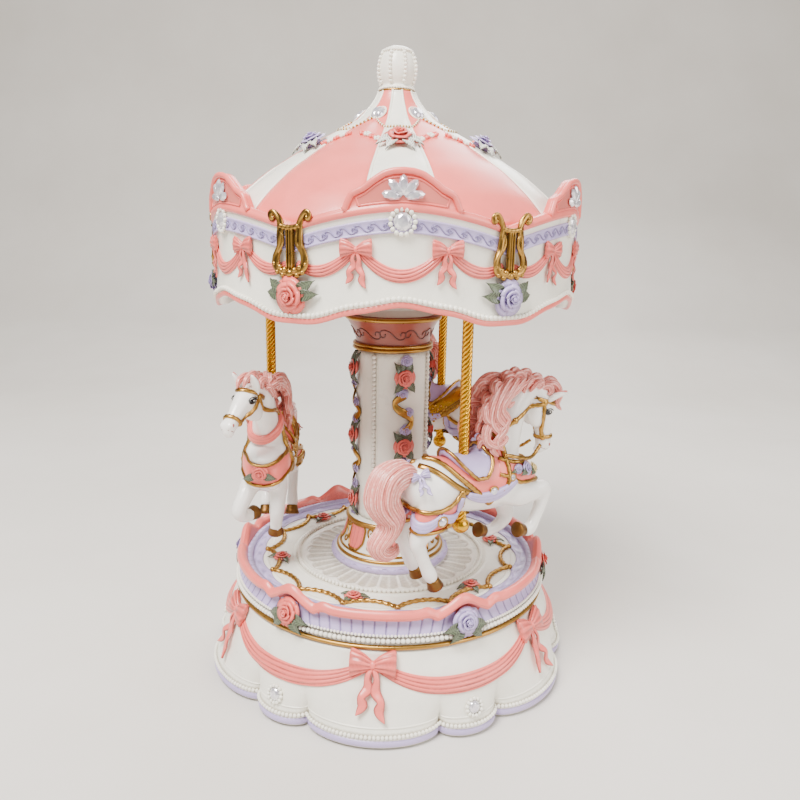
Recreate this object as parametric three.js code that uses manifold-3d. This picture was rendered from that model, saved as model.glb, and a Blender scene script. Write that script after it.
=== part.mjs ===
// Wind-up music box in the form of a three-horse carousel. Millimetres, +Z up, base standing on z = 0.
import * as THREE from 'three';
import { mergeVertices } from 'three/addons/utils/BufferGeometryUtils.js';
import Module from 'manifold-3d';

const wasm = await Module();
wasm.setup();

// ---------------------------------------------------------------- driving dimensions
const GAP = 0.3;                     // air left where two separate pieces rest on each other
const RUN = 0.1;                     // radial running clearance of a turning shaft
const SNUG = 0.05;                   // radial clearance of a pressed fit
const ROUND = 20;                    // facets round small turned pieces

const BASE_SIDES = 72;
const BASE_TURN = -4.5;              // degrees, centre of the first large lobe, 0 = front
const SMALL_LOBE_HALF = 9.75;        // degrees
const LARGE_LOBE_HALF = 20.25;
const NOTCH_R = 79.5;
const LARGE_LOBE_R = 88.3;
const SMALL_LOBE_R = 86.4;
const PAD_H = 1.2;
const PAD_R = 4.5;
const PAD_RING_R = 81;
const RECESS_R = 75;                 // key recess under the base
const CAVITY_R = 70;
const PLATE_Z = 12;
const PLATE_T = 2.5;
const SKIRT_TOP = 43;
const PLATE_SCREW_AZIMUTH = [25.5, 115.5, 205.5, 295.5];
const PLATE_SCREW_RING = 72.3;
const SCREW_R = 1.1;
const SCREW_HEAD_T = 1.1;
const SCREW_HOLE_R = 1.4;
const BED_SCREWS = [[34, -6], [-16, 10]];

const DECK_Z = 48;
const DECK_RIM_Z = 53.8;             // rim between the six rim roses
const RIM_ARCH = 3.8;                // extra height over each rose
const RIM_ARCH_HALF = 10;            // degrees
const PEDESTAL_TOP = 69.6;
const COLUMN_R = 17.4;
const COLUMN_BORE_R = 11;
const COLUMN_TOP = 150.8;
const CAPITAL_TOP = 167;
const CAPITAL_R = 22;

const SHAFT_R = 2;
const SHAFT_TOP = 271.5;
const HUB_FOOT = 236;
const HUB_FLANGE_Z = 245.4;
const HUB_TOP = 248.7;
const BUSH_R = 5.7;
const BUSH_SEAT_R = 6;
const LOWER_BUSH_Z = 40.4;
const LOWER_BUSH_TOP = 50;
const UPPER_BUSH_Z = 156;
const UPPER_BUSH_TOP = 172;

const CANOPY_TURN = 2;               // degrees, centre of the first valance face
const CANOPY_SIDES = 66;
const CEILING_Z = 180;
const CEILING_T = 2;
const CEILING_R = 75.7;
const NECK_HOLE_R = 24;
const VALANCE_R = 80;
const CORNER_DROP_Z = 171;           // lower edge of the valance at a corner
const FACE_DROP_Z = 178.5;           // and at the middle of a face
const CORNER_TOP_Z = 205.8;
const FACE_TOP_Z = 213.6;
const CREST_Z = 223.6;
const CREST_HALF = 15;               // degrees
const RIPPLE = 0.7;                  // small waves along the lower edge
const RIPPLES = 24;
const LYRE_R = 81.1;
const LYRE_Z = 199;
const LYRE_T = 1.6;
const ROOF_FOOT_Z = 205.3;
const ROOF_TOP_Z = 264.1;
const FINIAL_TOP_Z = 283.4;

const POLE_CIRCLE_R = 57.5;
const POLE_R = 2.3;
const POLE_FOOT = 3.5;               // shoulder above the ball centre
const SPIGOT_R = 1.5;
const BALL_R = 3.7;
const BALL_FROM = -1.1;              // radians, where the ball is cut flat below and above
const BALL_TO = 1.04;
const BALL_STEPS = 5;
const BALL_Z = 82;                   // ball centre of the first horse
const HORSE_LIFT = [0, 0, 9];        // present height of each horse above the first
const HORSE_AZIMUTH = [32, -88, 152];
const LIFT_STROKE = 12;
const FOLLOWER_RISE = 119;           // follower above the ball
const FOLLOWER_T = 2;
const FOLLOWER_REACH = 7.5;
const FOLLOWER_R = 3.4;
const NOSE_R = 2;

const CAM_DISC_Z = 183;
const CAM_DISC_T = 2;
const CAM_TRACK_IN = 48;
const CAM_TRACK_OUT = 52;
const CAM_WAVES = 2;
const CAM_MEAN_Z = 191.5;
const CAM_PEAK = 152;                // degrees, where a horse rides highest

const BARREL_FOOT = 17.6;
const BARREL_TOP = 26;
const BARREL_R = 16.5;
const BARREL_WALL = 1.7;
const CROWN_TEETH = 24;
const CROWN_IN = 15.7;
const CROWN_OUT = 18.3;
const CROWN_TOP = 27.6;
const CROWN_TOOTH_W = 0.9;
const CYLINDER_Z = 31.25;
const LANTERN_TEETH = 6;
const DRUM_R = 6.5;
const DRUM_FROM = 21.5;
const DRUM_TO = 40;
const PIN_H = 0.6;
const DRUM_PINS = 24;
const WHEEL_TEETH = 30;
const WHEEL_R = 9;
const PINION_TEETH = 8;
const PINION_R = 2.4;
const SPUR_ADDENDUM = 0.4;
const SPUR_DEDENDUM = 0.6;
const TOOTH_FOOT = 0.66;             // widths of a spur tooth
const TOOTH_TIP = 0.46;
const CYLINDER_CHEEKS = [[19, 20.7], [45.5, 47.2]];
const GOVERNOR_CHEEKS = [[37.6, 39.1], [45.5, 47.2]];
const CYLINDER_SHAFT_R = 1.5;
const GOVERNOR_SHAFT_R = 0.9;
const GOVERNOR_Y = WHEEL_R + PINION_R;
const FAN_FROM = 49.5;
const FAN_TO = 55.5;
const FAN_R = 7;
const BLADE_HALF = 0.4;
const SPRING_TURNS = 3.5;
const SPRING_STEPS = 60;
const SPRING_T = 0.35;
const SPRING_FROM = 18.4;
const SPRING_TO = 23.9;
const COMB_SCREWS = [[25, -22.5], [36.5, -22.5]];
const COMB_BACK = -27;
const COMB_Z = 30.9;
const COMB_T = 1.2;
const COMB_TEETH = 18;
const COMB_SLOT = 0.35;
const BED_Z = PLATE_Z + PLATE_T + GAP;
const BED_TOP = 17;
const ARBOR_R = 2.2;

// ---------------------------------------------------------------- small helpers
const rad = THREE.MathUtils.degToRad;
const TURN = Math.PI * 2;

const around = (azimuth, r, z = 0) => [r * Math.sin(rad(azimuth)), -r * Math.cos(rad(azimuth)), z];
const wrap = (angle, period) => ((angle % period) + period * 1.5) % period - period / 2;
const smooth = (t) => t * t * (3 - 2 * t);
const clamp01 = (t) => Math.min(1, Math.max(0, t));

function signedVolume(points, faces) {
  let sum = 0;
  for (const [a, b, c] of faces) {
    const p = points[a];
    const q = points[b];
    const r = points[c];
    sum += p[0] * (q[1] * r[2] - q[2] * r[1]);
    sum += p[1] * (q[2] * r[0] - q[0] * r[2]);
    sum += p[2] * (q[0] * r[1] - q[1] * r[0]);
  }
  return sum;
}

function geometryOf(points, faces) {
  const inward = signedVolume(points, faces) < 0;
  const order = inward ? faces.map(([a, b, c]) => [a, c, b]) : faces;
  const geometry = new THREE.BufferGeometry();
  geometry.setAttribute('position', new THREE.Float32BufferAttribute(points.flat(), 3));
  geometry.setIndex(order.flat());
  return geometry;
}

// Skins a row of sections with equal point counts; an open row gets a flat cap at each end.
function skin(sections, closed) {
  const count = sections[0].length;
  const points = sections.flat();
  const faces = [];
  const spans = closed ? sections.length : sections.length - 1;
  for (let i = 0; i < spans; i += 1) {
    const here = i * count;
    const next = ((i + 1) % sections.length) * count;
    for (let j = 0; j < count; j += 1) {
      const k = (j + 1) % count;
      faces.push([here + j, here + k, next + k], [here + j, next + k, next + j]);
    }
  }
  if (!closed) {
    addCap(points, faces, 0, count, true);
    addCap(points, faces, (sections.length - 1) * count, count, false);
  }
  return geometryOf(points, faces);
}

function addCap(points, faces, first, count, reversed) {
  const centre = [0, 0, 0];
  for (let j = 0; j < count; j += 1) {
    points[first + j].forEach((value, axis) => {
      centre[axis] += value / count;
    });
  }
  const hub = points.push(centre) - 1;
  for (let j = 0; j < count; j += 1) {
    const k = (j + 1) % count;
    faces.push(reversed ? [hub, first + k, first + j] : [hub, first + j, first + k]);
  }
}

function circle(r, z, sides) {
  const points = [];
  for (let i = 0; i < sides; i += 1) {
    points.push([r * Math.cos((TURN * i) / sides), r * Math.sin((TURN * i) / sides), z]);
  }
  return points;
}

// Solid turned about Z from [radius, height] pairs, flat at both ends of the list.
const turned = (profile, sides = ROUND) => skin(profile.map(([r, z]) => circle(r, z, sides)), false);

// Ring about Z; profileAt(azimuth in degrees) gives its closed section as [radius, height] pairs.
function ring(profileAt, sides) {
  const sections = [];
  for (let i = 0; i < sides; i += 1) {
    const azimuth = (360 * i) / sides;
    sections.push(profileAt(azimuth).map(([r, z]) => around(azimuth, r, z)));
  }
  return skin(sections, true);
}

const turnedRing = (profile, sides = ROUND) => ring(() => profile, sides);
const tube = (inner, outer, z0, z1, sides = ROUND) =>
  turnedRing([[inner, z0], [outer, z0], [outer, z1], [inner, z1]], sides);

function box(x0, x1, y0, y1, z0, z1) {
  const loop = (z) => [[x0, y0, z], [x1, y0, z], [x1, y1, z], [x0, y1, z]];
  return skin([loop(z0), loop(z1)], false);
}

function slab(shape, z0, z1, curveSegments = 24) {
  const extruded = new THREE.ExtrudeGeometry(shape, { depth: z1 - z0, bevelEnabled: false, curveSegments });
  extruded.deleteAttribute('normal');
  extruded.deleteAttribute('uv');
  return mergeVertices(extruded).translate(0, 0, z0);
}

function holeIn(shape, x, y, r) {
  const path = new THREE.Path();
  path.absarc(x, y, r, 0, TURN, true);
  shape.holes.push(path);
}

const alongX = (geometry) => geometry.rotateY(Math.PI / 2);

function toManifold(geometry) {
  return new wasm.Manifold(new wasm.Mesh({
    numProp: 3,
    vertProperties: new Float32Array(geometry.getAttribute('position').array),
    triVerts: new Uint32Array(geometry.getIndex().array),
  }));
}

function fromManifold(manifold) {
  const mesh = manifold.getMesh();
  const geometry = new THREE.BufferGeometry();
  geometry.setAttribute('position', new THREE.BufferAttribute(new Float32Array(mesh.vertProperties), 3));
  geometry.setIndex(new THREE.BufferAttribute(new Uint32Array(mesh.triVerts), 1));
  return geometry;
}

const join = (...parts) => fromManifold(parts.map(toManifold).reduce((all, part) => all.add(part)));
const cut = (part, ...tools) =>
  fromManifold(tools.map(toManifold).reduce((rest, tool) => rest.subtract(tool), toManifold(part)));

// ---------------------------------------------------------------- base
function lobeRadius(azimuth) {
  const fromLarge = wrap(azimuth - BASE_TURN, 60);
  if (Math.abs(fromLarge) < LARGE_LOBE_HALF) {
    return bulge(fromLarge / LARGE_LOBE_HALF, LARGE_LOBE_R);
  }
  const fromSmall = wrap(azimuth - BASE_TURN - 30, 60);
  return bulge(clamp01(Math.abs(fromSmall) / SMALL_LOBE_HALF), SMALL_LOBE_R);
}

const bulge = (t, peak) => NOTCH_R + (peak - NOTCH_R) * (1 - t * t) ** 0.6;

function skirtProfile(azimuth) {
  const hem = lobeRadius(azimuth);
  const drape = (r, share) => r + (hem - LARGE_LOBE_R) * share;
  return [
    [RECESS_R, PAD_H], [drape(88, 1), PAD_H], [drape(88.1, 1), 4.6], [drape(84.9, 0.5), 12],
    [drape(81.6, 0.15), 20], [78.6, 27], [75.3, 35], [75.8, 37.6], [73.9, 39.8],
    [73.4, SKIRT_TOP], [CAVITY_R, SKIRT_TOP], [CAVITY_R, BED_Z], [RECESS_R, BED_Z],
  ];
}

function baseSkirt() {
  const holes = PLATE_SCREW_AZIMUTH.map((azimuth) => {
    const [x, y] = around(azimuth, PLATE_SCREW_RING);
    return drill(x, y, SCREW_HOLE_R, BED_Z - 1, 20);
  });
  return cut(ring(skirtProfile, BASE_SIDES), ...holes);
}

const drill = (x, y, r, z0, z1) => turned([[r, z0], [r, z1]], 12).translate(x, y, 0);
const disc = (r, z0, z1, sides) => turned([[r, z0], [r, z1]], sides);

function bottomPlate() {
  const ends = [PLATE_Z - 1, PLATE_Z + PLATE_T + 1];
  const holes = PLATE_SCREW_AZIMUTH.map((azimuth) =>
    drill(...around(azimuth, PLATE_SCREW_RING).slice(0, 2), SCREW_HOLE_R, ...ends));
  BED_SCREWS.forEach(([x, y]) => holes.push(drill(x, y, SCREW_HOLE_R, ...ends)));
  return cut(disc(RECESS_R - GAP, PLATE_Z, PLATE_Z + PLATE_T, 48), drill(0, 0, ARBOR_R + 1, ...ends), ...holes);
}

const screwUp = (head, z0, z1) =>
  turned([[head, z0], [head, z0 + SCREW_HEAD_T], [SCREW_R, z0 + SCREW_HEAD_T], [SCREW_R, z1]], 16);

function deckProfile(azimuth) {
  const fromRose = Math.abs(wrap(azimuth - BASE_TURN - 30, 60));
  const arch = RIM_ARCH * smooth(clamp01(1 - fromRose / RIM_ARCH_HALF));
  return [
    [BUSH_SEAT_R, SKIRT_TOP + GAP], [73, SKIRT_TOP + GAP], [72, 46.2], [72.8, 49.4],
    [74.9, 51.2 + arch / 2], [74.6, 53 + arch], [72.8, DECK_RIM_Z + arch], [71, 52.8 + arch / 2],
    [69.8, DECK_Z], [BUSH_SEAT_R, DECK_Z],
  ];
}

function pedestal() {
  return turnedRing([
    [COLUMN_BORE_R, DECK_Z + GAP], [28, DECK_Z + GAP], [27.6, 51.2], [25.2, 52.4],
    [24.2, 54.8], [22.6, 58], [20.8, 62.5], [20, 66.4], [21.5, 68], [20.6, PEDESTAL_TOP],
    [COLUMN_BORE_R, PEDESTAL_TOP],
  ], 36);
}

const column = () => tube(COLUMN_BORE_R, COLUMN_R, PEDESTAL_TOP + GAP, COLUMN_TOP, 36);

function capital() {
  return turnedRing([
    [BUSH_SEAT_R, COLUMN_TOP + GAP], [18, COLUMN_TOP + GAP], [18.6, 153], [17.4, 154.4],
    [17.9, 157], [19.4, 161], [CAPITAL_R, 165.2], [CAPITAL_R, CAPITAL_TOP], [BUSH_SEAT_R, CAPITAL_TOP],
  ], 36);
}

const flangedBush = (z0, z1) => turnedRing([
  [SHAFT_R + RUN, z0], [8, z0], [8, z0 + 2.2], [BUSH_R, z0 + 2.2], [BUSH_R, z1], [SHAFT_R + RUN, z1],
]);

// The static face cam the three followers run round on, drawn one stroke low.
function liftCam() {
  const crown = (azimuth) => CAM_MEAN_Z + (LIFT_STROKE / 2) * Math.cos(rad(CAM_WAVES * (azimuth - CAM_PEAK)));
  const top = CAM_DISC_Z + CAM_DISC_T;
  return ring((azimuth) => [
    [BUSH_SEAT_R + 3, CAPITAL_TOP + GAP], [19, CAPITAL_TOP + GAP], [16, CAPITAL_TOP + 3], [16, CAM_DISC_Z],
    [CAM_TRACK_OUT, CAM_DISC_Z], [CAM_TRACK_OUT, crown(azimuth)], [CAM_TRACK_IN, crown(azimuth)],
    [CAM_TRACK_IN, top], [BUSH_SEAT_R + 3, top],
  ], 36);
}

// ---------------------------------------------------------------- movement
function spokedTeeth(count, r0, r1, width, z0, z1) {
  const teeth = [];
  for (let i = 0; i < count; i += 1) {
    teeth.push(box(r0, r1, -width / 2, width / 2, z0, z1).rotateZ((TURN * i) / count));
  }
  return teeth;
}

function springBarrel() {
  const cup = turned([
    [BARREL_R - BARREL_WALL, BARREL_TOP - 1.5], [BARREL_R - BARREL_WALL, BARREL_FOOT], [BARREL_R, BARREL_FOOT],
    [BARREL_R, BARREL_TOP - 1.6], [CROWN_OUT + 0.2, BARREL_TOP - 1.3], [CROWN_OUT + 0.2, BARREL_TOP],
    [6, BARREL_TOP], [6, BARREL_TOP + 4],
  ], 36);
  const socket = turned([[SHAFT_R + SNUG, BARREL_TOP + 0.7], [SHAFT_R + SNUG, BARREL_TOP + 6]]);
  const teeth = spokedTeeth(CROWN_TEETH, CROWN_IN, CROWN_OUT, CROWN_TOOTH_W, BARREL_TOP - 0.5, CROWN_TOP);
  return cut(join(cup, ...teeth), socket);
}

function mainspring() {
  const sections = [];
  for (let i = 0; i <= SPRING_STEPS; i += 1) {
    const t = i / SPRING_STEPS;
    const r = 4 + 10 * t ** 1.15;
    const angle = TURN * SPRING_TURNS * t;
    const at = (radius, z) => [radius * Math.cos(angle), radius * Math.sin(angle), z];
    const outer = r + SPRING_T;
    sections.push([at(r, SPRING_FROM), at(outer, SPRING_FROM), at(outer, SPRING_TO), at(r, SPRING_TO)]);
  }
  return skin(sections, false);
}

const windingArbor = () => turned([[ARBOR_R, 3.3], [ARBOR_R, 24.2]]);

function windingKey() {
  const boss = turned([[3, 2.6], [3.8, 3.4], [3.8, 10.4], [3.2, 11]], 24);
  const outline = new THREE.Shape();
  outline.moveTo(0, 3.4);
  outline.bezierCurveTo(6, 1.6, 12.5, 0.6, 13.2, 4);
  outline.bezierCurveTo(13.6, 7, 12.4, 9.6, 9.6, 9.6);
  outline.bezierCurveTo(6, 9.6, 3.4, 8, 0, 7.6);
  const wing = slab(outline, -0.9, 0.9, 6).rotateX(Math.PI / 2);
  const bore = turned([[ARBOR_R + SNUG, 3], [ARBOR_R + SNUG, 12]]);
  return cut(join(boss, wing, wing.clone().rotateZ(Math.PI)), bore);
}

function bedPlate() {
  const holes = BED_SCREWS.map(([x, y]) => drill(x, y, SCREW_HOLE_R, BED_Z - 1, BED_TOP + 1));
  const arborHole = disc(ARBOR_R + RUN, BED_Z - 1, BED_TOP + 1, ROUND);
  return cut(box(-22, 50, -28, 17, BED_Z, BED_TOP), arborHole, ...holes);
}

// A pair of upright bearing cheeks on a common foot, bored along X.
function bearingFrame(xs, y0, y1, boreY, boreR) {
  const foot = box(xs[0][0], xs[1][1], y0, y1, BED_TOP + GAP, 19);
  const cheeks = xs.map(([a, b]) => box(a, b, y0, y1, 18, CYLINDER_Z + 3.4));
  const bore = alongX(turned([[boreR, xs[0][0] - 1], [boreR, xs[1][1] + 1]])).translate(0, boreY, CYLINDER_Z);
  return cut(join(foot, ...cheeks), bore);
}

// Gear outline with narrow straight teeth; first is the angle of a tooth centre.
function gearShape(teeth, root, tip, footWidth, tipWidth, first) {
  const points = [];
  for (let i = 0; i < teeth; i += 1) {
    const angle = first + (TURN * i) / teeth;
    const corner = (r, side) => new THREE.Vector2(
      r * Math.cos(angle) - side * Math.sin(angle), r * Math.sin(angle) + side * Math.cos(angle));
    points.push(corner(root, -footWidth / 2), corner(tip, -tipWidth / 2));
    points.push(corner(tip, tipWidth / 2), corner(root, footWidth / 2));
  }
  return new THREE.Shape(points);
}

function pinCylinder() {
  const shaft = turned([[CYLINDER_SHAFT_R, 14.2], [CYLINDER_SHAFT_R, 48]]);
  const drum = turned([[DRUM_R, DRUM_FROM], [DRUM_R, DRUM_TO]]);
  const gap = Math.PI / LANTERN_TEETH;
  const pinion = slab(gearShape(LANTERN_TEETH, 3, 4.85, 1, 0.8, gap), CROWN_IN, CROWN_OUT);
  const pins = [];
  for (let i = 0; i < DRUM_PINS; i += 1) {
    const along = DRUM_FROM + 1 + ((i * 7) % 18) * 0.97;
    pins.push(box(DRUM_R - 0.5, DRUM_R + PIN_H, -0.2, 0.2, along - 0.2, along + 0.2).rotateZ(i * 0.87));
  }
  return alongX(join(shaft, drum, pinion, ...pins)).translate(0, 0, CYLINDER_Z);
}

const spurShape = (teeth, r, first) =>
  gearShape(teeth, r - SPUR_DEDENDUM, r + SPUR_ADDENDUM, TOOTH_FOOT, TOOTH_TIP, first);

function cylinderWheel() {
  const shape = spurShape(WHEEL_TEETH, WHEEL_R, Math.PI / 2);
  holeIn(shape, 0, 0, CYLINDER_SHAFT_R + SNUG);
  return alongX(slab(shape, 41.5, 43.5, 16)).translate(0, 0, CYLINDER_Z);
}

function governorPinion() {
  const shaft = turned([[GOVERNOR_SHAFT_R, 36.9], [GOVERNOR_SHAFT_R, 57.4]], 16);
  const first = -Math.PI / 2 + Math.PI / PINION_TEETH;
  const teeth = spurShape(PINION_TEETH, PINION_R, first);
  return alongX(join(shaft, slab(teeth, 41, 44))).translate(0, GOVERNOR_Y, CYLINDER_Z);
}

function governorFan() {
  const hub = disc(2 * GOVERNOR_SHAFT_R, FAN_FROM - 0.5, FAN_TO + 0.5, 16);
  const blade = box(-FAN_R, FAN_R, -BLADE_HALF, BLADE_HALF, FAN_FROM, FAN_TO);
  const blades = [blade, blade.clone().rotateZ(TURN / 4)];
  const bore = disc(GOVERNOR_SHAFT_R + SNUG, FAN_FROM - 1, FAN_TO + 1, 16);
  return alongX(cut(join(hub, ...blades), bore)).translate(0, GOVERNOR_Y, CYLINDER_Z);
}

function comb() {
  const tip = -(DRUM_R + PIN_H + 0.4);
  const pitch = (DRUM_TO - DRUM_FROM) / COMB_TEETH;
  const blank = box(DRUM_FROM, DRUM_TO, COMB_BACK, tip, COMB_Z, COMB_Z + COMB_T);
  const tools = COMB_SCREWS.map(([x, y]) => drill(x, y, SCREW_HOLE_R, 30, 33));
  for (let i = 1; i < COMB_TEETH; i += 1) {
    const x = DRUM_FROM + i * pitch;
    tools.push(box(x - COMB_SLOT, x, -17.5, tip + 1, COMB_Z - 1, COMB_Z + COMB_T + 1));
  }
  return cut(blank, ...tools);
}

function combBase() {
  const block = box(DRUM_FROM, DRUM_TO, COMB_BACK, -18.5, BED_TOP + GAP, COMB_Z - GAP);
  const holes = COMB_SCREWS.map(([x, y]) => drill(x, y, SCREW_HOLE_R, 24, 32));
  return cut(block, ...holes);
}

const combScrew = () => turned([[SCREW_R, 25], [SCREW_R, 32.4], [1.9, 32.4], [1.9, 33.6]], 16);

// ---------------------------------------------------------------- canopy
const driveShaft = () => turned([[SHAFT_R, BARREL_TOP + 1], [SHAFT_R, SHAFT_TOP]]);

function canopyHub() {
  return turnedRing([
    [SHAFT_R + SNUG, HUB_FOOT], [5, HUB_FOOT], [5, HUB_FLANGE_Z], [11, HUB_FLANGE_Z], [11, HUB_TOP],
    [SHAFT_R + SNUG, HUB_TOP],
  ]);
}

function canopyPlate() {
  const ends = [CEILING_Z - 1, CEILING_Z + CEILING_T + 1];
  const holes = HORSE_AZIMUTH.map((azimuth) =>
    drill(...around(azimuth, POLE_CIRCLE_R).slice(0, 2), POLE_R + GAP, ...ends));
  return cut(tube(NECK_HOLE_R, CEILING_R, CEILING_Z, CEILING_Z + CEILING_T, 48), ...holes);
}

function valanceProfile(azimuth) {
  const offset = wrap(azimuth - CANOPY_TURN, 60);
  const toCorner = Math.abs(offset) / 30;
  const wave = RIPPLE * Math.cos(rad(offset * RIPPLES));
  const drop = FACE_DROP_Z + (CORNER_DROP_Z - FACE_DROP_Z) * smooth(toCorner) + wave;
  const crest = clamp01(1 - Math.abs(offset) / CREST_HALF) ** 0.7 * (CREST_Z - FACE_TOP_Z);
  const top = CORNER_TOP_Z + (FACE_TOP_Z - CORNER_TOP_Z) * (1 - toCorner ** 1.6) + crest;
  const r = VALANCE_R + 1.2 * (1 - toCorner);
  return [
    [76, drop], [r, drop], [r, drop + 2.6], [r - 1.2, 188], [r - 1.2, 198],
    [r + 0.8, top - 3 - crest], [r - 0.2, top],
    [77.2, top], [77.2, 205], [73.6, 205], [73.6, 202.6], [76, 186], [73.2, 184.4],
    [73.2, CEILING_Z + CEILING_T + GAP], [76, CEILING_Z + CEILING_T + GAP],
  ];
}

const ROOF_LINE = [
  [76.6, 208.6], [75, 211.6], [66, 221], [55, 229.6], [44, 236.6],
  [31, 244], [22.7, 248.3], [16.8, 252.4], [11.5, 258.3], [8.2, ROOF_TOP_Z],
];
const ROOF_INSIDE = [[2.6, 249], [14, 249], [31, 240.4], [50, 229.5], [66, 217.4], [73.6, 208.6]];

function canopyRoof() {
  return ring((azimuth) => {
    const offset = wrap(azimuth - CANOPY_TURN, 60) / 30;
    const swell = Math.cos(Math.PI * offset * 2);
    const outer = ROOF_LINE.map(([r, z]) => [r, z + 0.5 * swell * clamp01((r - 12) / 20) * clamp01((76 - r) / 5)]);
    return [[73.6, ROOF_FOOT_Z], [76.7, ROOF_FOOT_Z], ...outer, [2.6, ROOF_TOP_Z], ...ROOF_INSIDE];
  }, 48);
}

function finial() {
  const foot = ROOF_TOP_Z + GAP;
  return turned([
    [SHAFT_R + SNUG, SHAFT_TOP + 0.5], [SHAFT_R + SNUG, foot], [7.4, foot], [7.9, foot + 1.2], [8.1, foot + 2.6],
    [9.2, 269.6], [9.7, 273.4], [9.1, 277], [6.9, 279], [6.6, 280.6], [5, 281.8], [2.4, 283], [0.8, FINIAL_TOP_Z],
  ]);
}

function lyre() {
  const shape = new THREE.Shape();
  shape.moveTo(0, -9.5);
  shape.bezierCurveTo(5, -9, 7.6, -4.5, 6, 0);
  shape.bezierCurveTo(4.8, 3, 4.6, 5, 6.6, 7.4);
  shape.bezierCurveTo(7, 9.6, 4.4, 10, 3.2, 8);
  shape.lineTo(2.6, 6.6);
  shape.lineTo(-2.6, 6.6);
  shape.lineTo(-3.2, 8);
  shape.bezierCurveTo(-4.4, 10, -7, 9.6, -6.6, 7.4);
  shape.bezierCurveTo(-4.6, 5, -4.8, 3, -6, 0);
  shape.bezierCurveTo(-7.6, -4.5, -5, -9, 0, -9.5);
  const eye = new THREE.Path();
  eye.moveTo(0, -6.4);
  eye.bezierCurveTo(-3.4, -6, -4.8, -3, -3.6, 0);
  eye.lineTo(-2.9, 4.4);
  eye.lineTo(2.9, 4.4);
  eye.lineTo(3.6, 0);
  eye.bezierCurveTo(4.8, -3, 3.4, -6, 0, -6.4);
  shape.holes.push(eye);
  return slab(shape, 0, LYRE_T, 4).rotateX(Math.PI / 2);
}

// ---------------------------------------------------------------- horses
// A body section: [forward, side, height, half thickness in the profile plane, half width]
function limb(stations, sides = 12) {
  const centres = stations.map(([x, y, z]) => new THREE.Vector3(x, y, z));
  const sections = stations.map(([, , , thick, wide], i) => {
    const ahead = centres[Math.min(i + 1, centres.length - 1)];
    const behind = centres[Math.max(i - 1, 0)];
    const run = ahead.clone().sub(behind).normalize();
    const across = new THREE.Vector3(0, 1, 0).addScaledVector(run, -run.y).normalize();
    const up = run.clone().cross(across);
    const loop = [];
    for (let k = 0; k < sides; k += 1) {
      const angle = (TURN * k) / sides;
      const point = centres[i].clone();
      point.addScaledVector(up, thick * Math.cos(angle));
      point.addScaledVector(across, wide * Math.sin(angle));
      loop.push(point.toArray());
    }
    return loop;
  });
  return skin(sections, false);
}

const TORSO = [
  [-30, 0, 101, 2.4, 2.4], [-27.6, 0, 101.8, 8, 7.4], [-19, 0, 102.6, 12, 11], [-8, 0, 101, 11.4, 10.4],
  [6, 0, 99.6, 12.4, 10.6], [22, 0, 100, 13.6, 11], [31, 0, 101, 10.6, 9], [36.6, 0, 100.6, 3, 3],
];
const NECK = [
  [15, 0, 103, 11, 8.4], [20, 0, 111, 10.6, 7.6], [24, 0, 121, 8.8, 6.2], [30, 0, 132, 7, 5.2],
  [39, 0, 139.6, 4.6, 4.2],
];
const MANE = [
  [10, 0, 111, 3, 3.4], [12.4, 0, 124, 5.4, 6], [16.6, 0, 136, 5.8, 6.4], [27, 0, 142.4, 4.4, 5.6],
  [40, 0, 140.6, 3.4, 5], [49, 0, 137, 1.8, 3],
];
const HEAD = [
  [38.5, 0, 140.4, 4.4, 4], [43.6, 0, 132.4, 6.8, 4.9], [45.8, 0, 123, 5, 3.9], [46.4, 0, 114.6, 3.4, 3.1],
  [46, 0, 110.6, 1.9, 1.9],
];
const TAIL = [
  [-24, 0, 105, 3, 3], [-30, 0, 109, 5, 5], [-37.6, 0, 106.6, 7.2, 7], [-38.6, 0, 97, 7, 6.6],
  [-36.4, 0, 89, 5.6, 5.4], [-40.6, 0, 81.6, 4.8, 4.6], [-34.6, 0, 77.2, 2.8, 2.8],
];
const hindLeg = (side) => [
  [-15, side * 4.5, 102, 9.5, 6], [-20, side * 6.6, 90, 6.8, 4.8], [-27, side * 6.8, 82.4, 3.7, 3.1],
  [-22.6, side * 6.8, 70.6, 3, 2.7], [-17.6, side * 6.8, 61.4, 3.7, 3.5],
];
const RAISED_FORELEG = [
  [22, -5, 98, 8, 4.6], [29, -6.6, 93.4, 6, 4.4], [40.4, -6.8, 94, 3.7, 3.4], [36.4, -6.8, 80, 3, 2.7],
  [32, -6.8, 75.8, 3.2, 2.9], [26.6, -6.8, 77.8, 3.7, 3.4],
];
const FOLDED_FORELEG = [
  [22, 5, 98, 8, 4.6], [28, 6.6, 88, 5.4, 4.2], [31, 6.8, 77, 3.6, 3.3], [22.6, 6.8, 72.6, 3, 2.8],
  [15.4, 6.8, 75, 3.7, 3.4],
];

// How far each horse's head is nodded up and turned outward, in degrees.
const HEAD_POSES = [{ nod: 0, turn: 12 }, { nod: 48, turn: 22 }, { nod: 0, turn: 10 }];
const POLL = [36, 138];
const SWIVEL_X = 33;

const spin = (a, b, degrees) => {
  const [c, s] = [Math.cos(rad(degrees)), Math.sin(rad(degrees))];
  return [a * c - b * s, a * s + b * c];
};

// Moves what lies ahead of the throat, so the head swings and the chest stays.
function posed([x, y, z, thick, wide], { nod, turn }) {
  const share = smooth(clamp01((x - 30) / 10)) * clamp01((z - 104) / 5);
  const [ahead, above] = spin(x - POLL[0], z - POLL[1], nod * share);
  const [forward, side] = spin(ahead + POLL[0] - SWIVEL_X, y, -turn * share);
  return [forward + SWIVEL_X, side, above + POLL[1], thick, wide];
}

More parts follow.
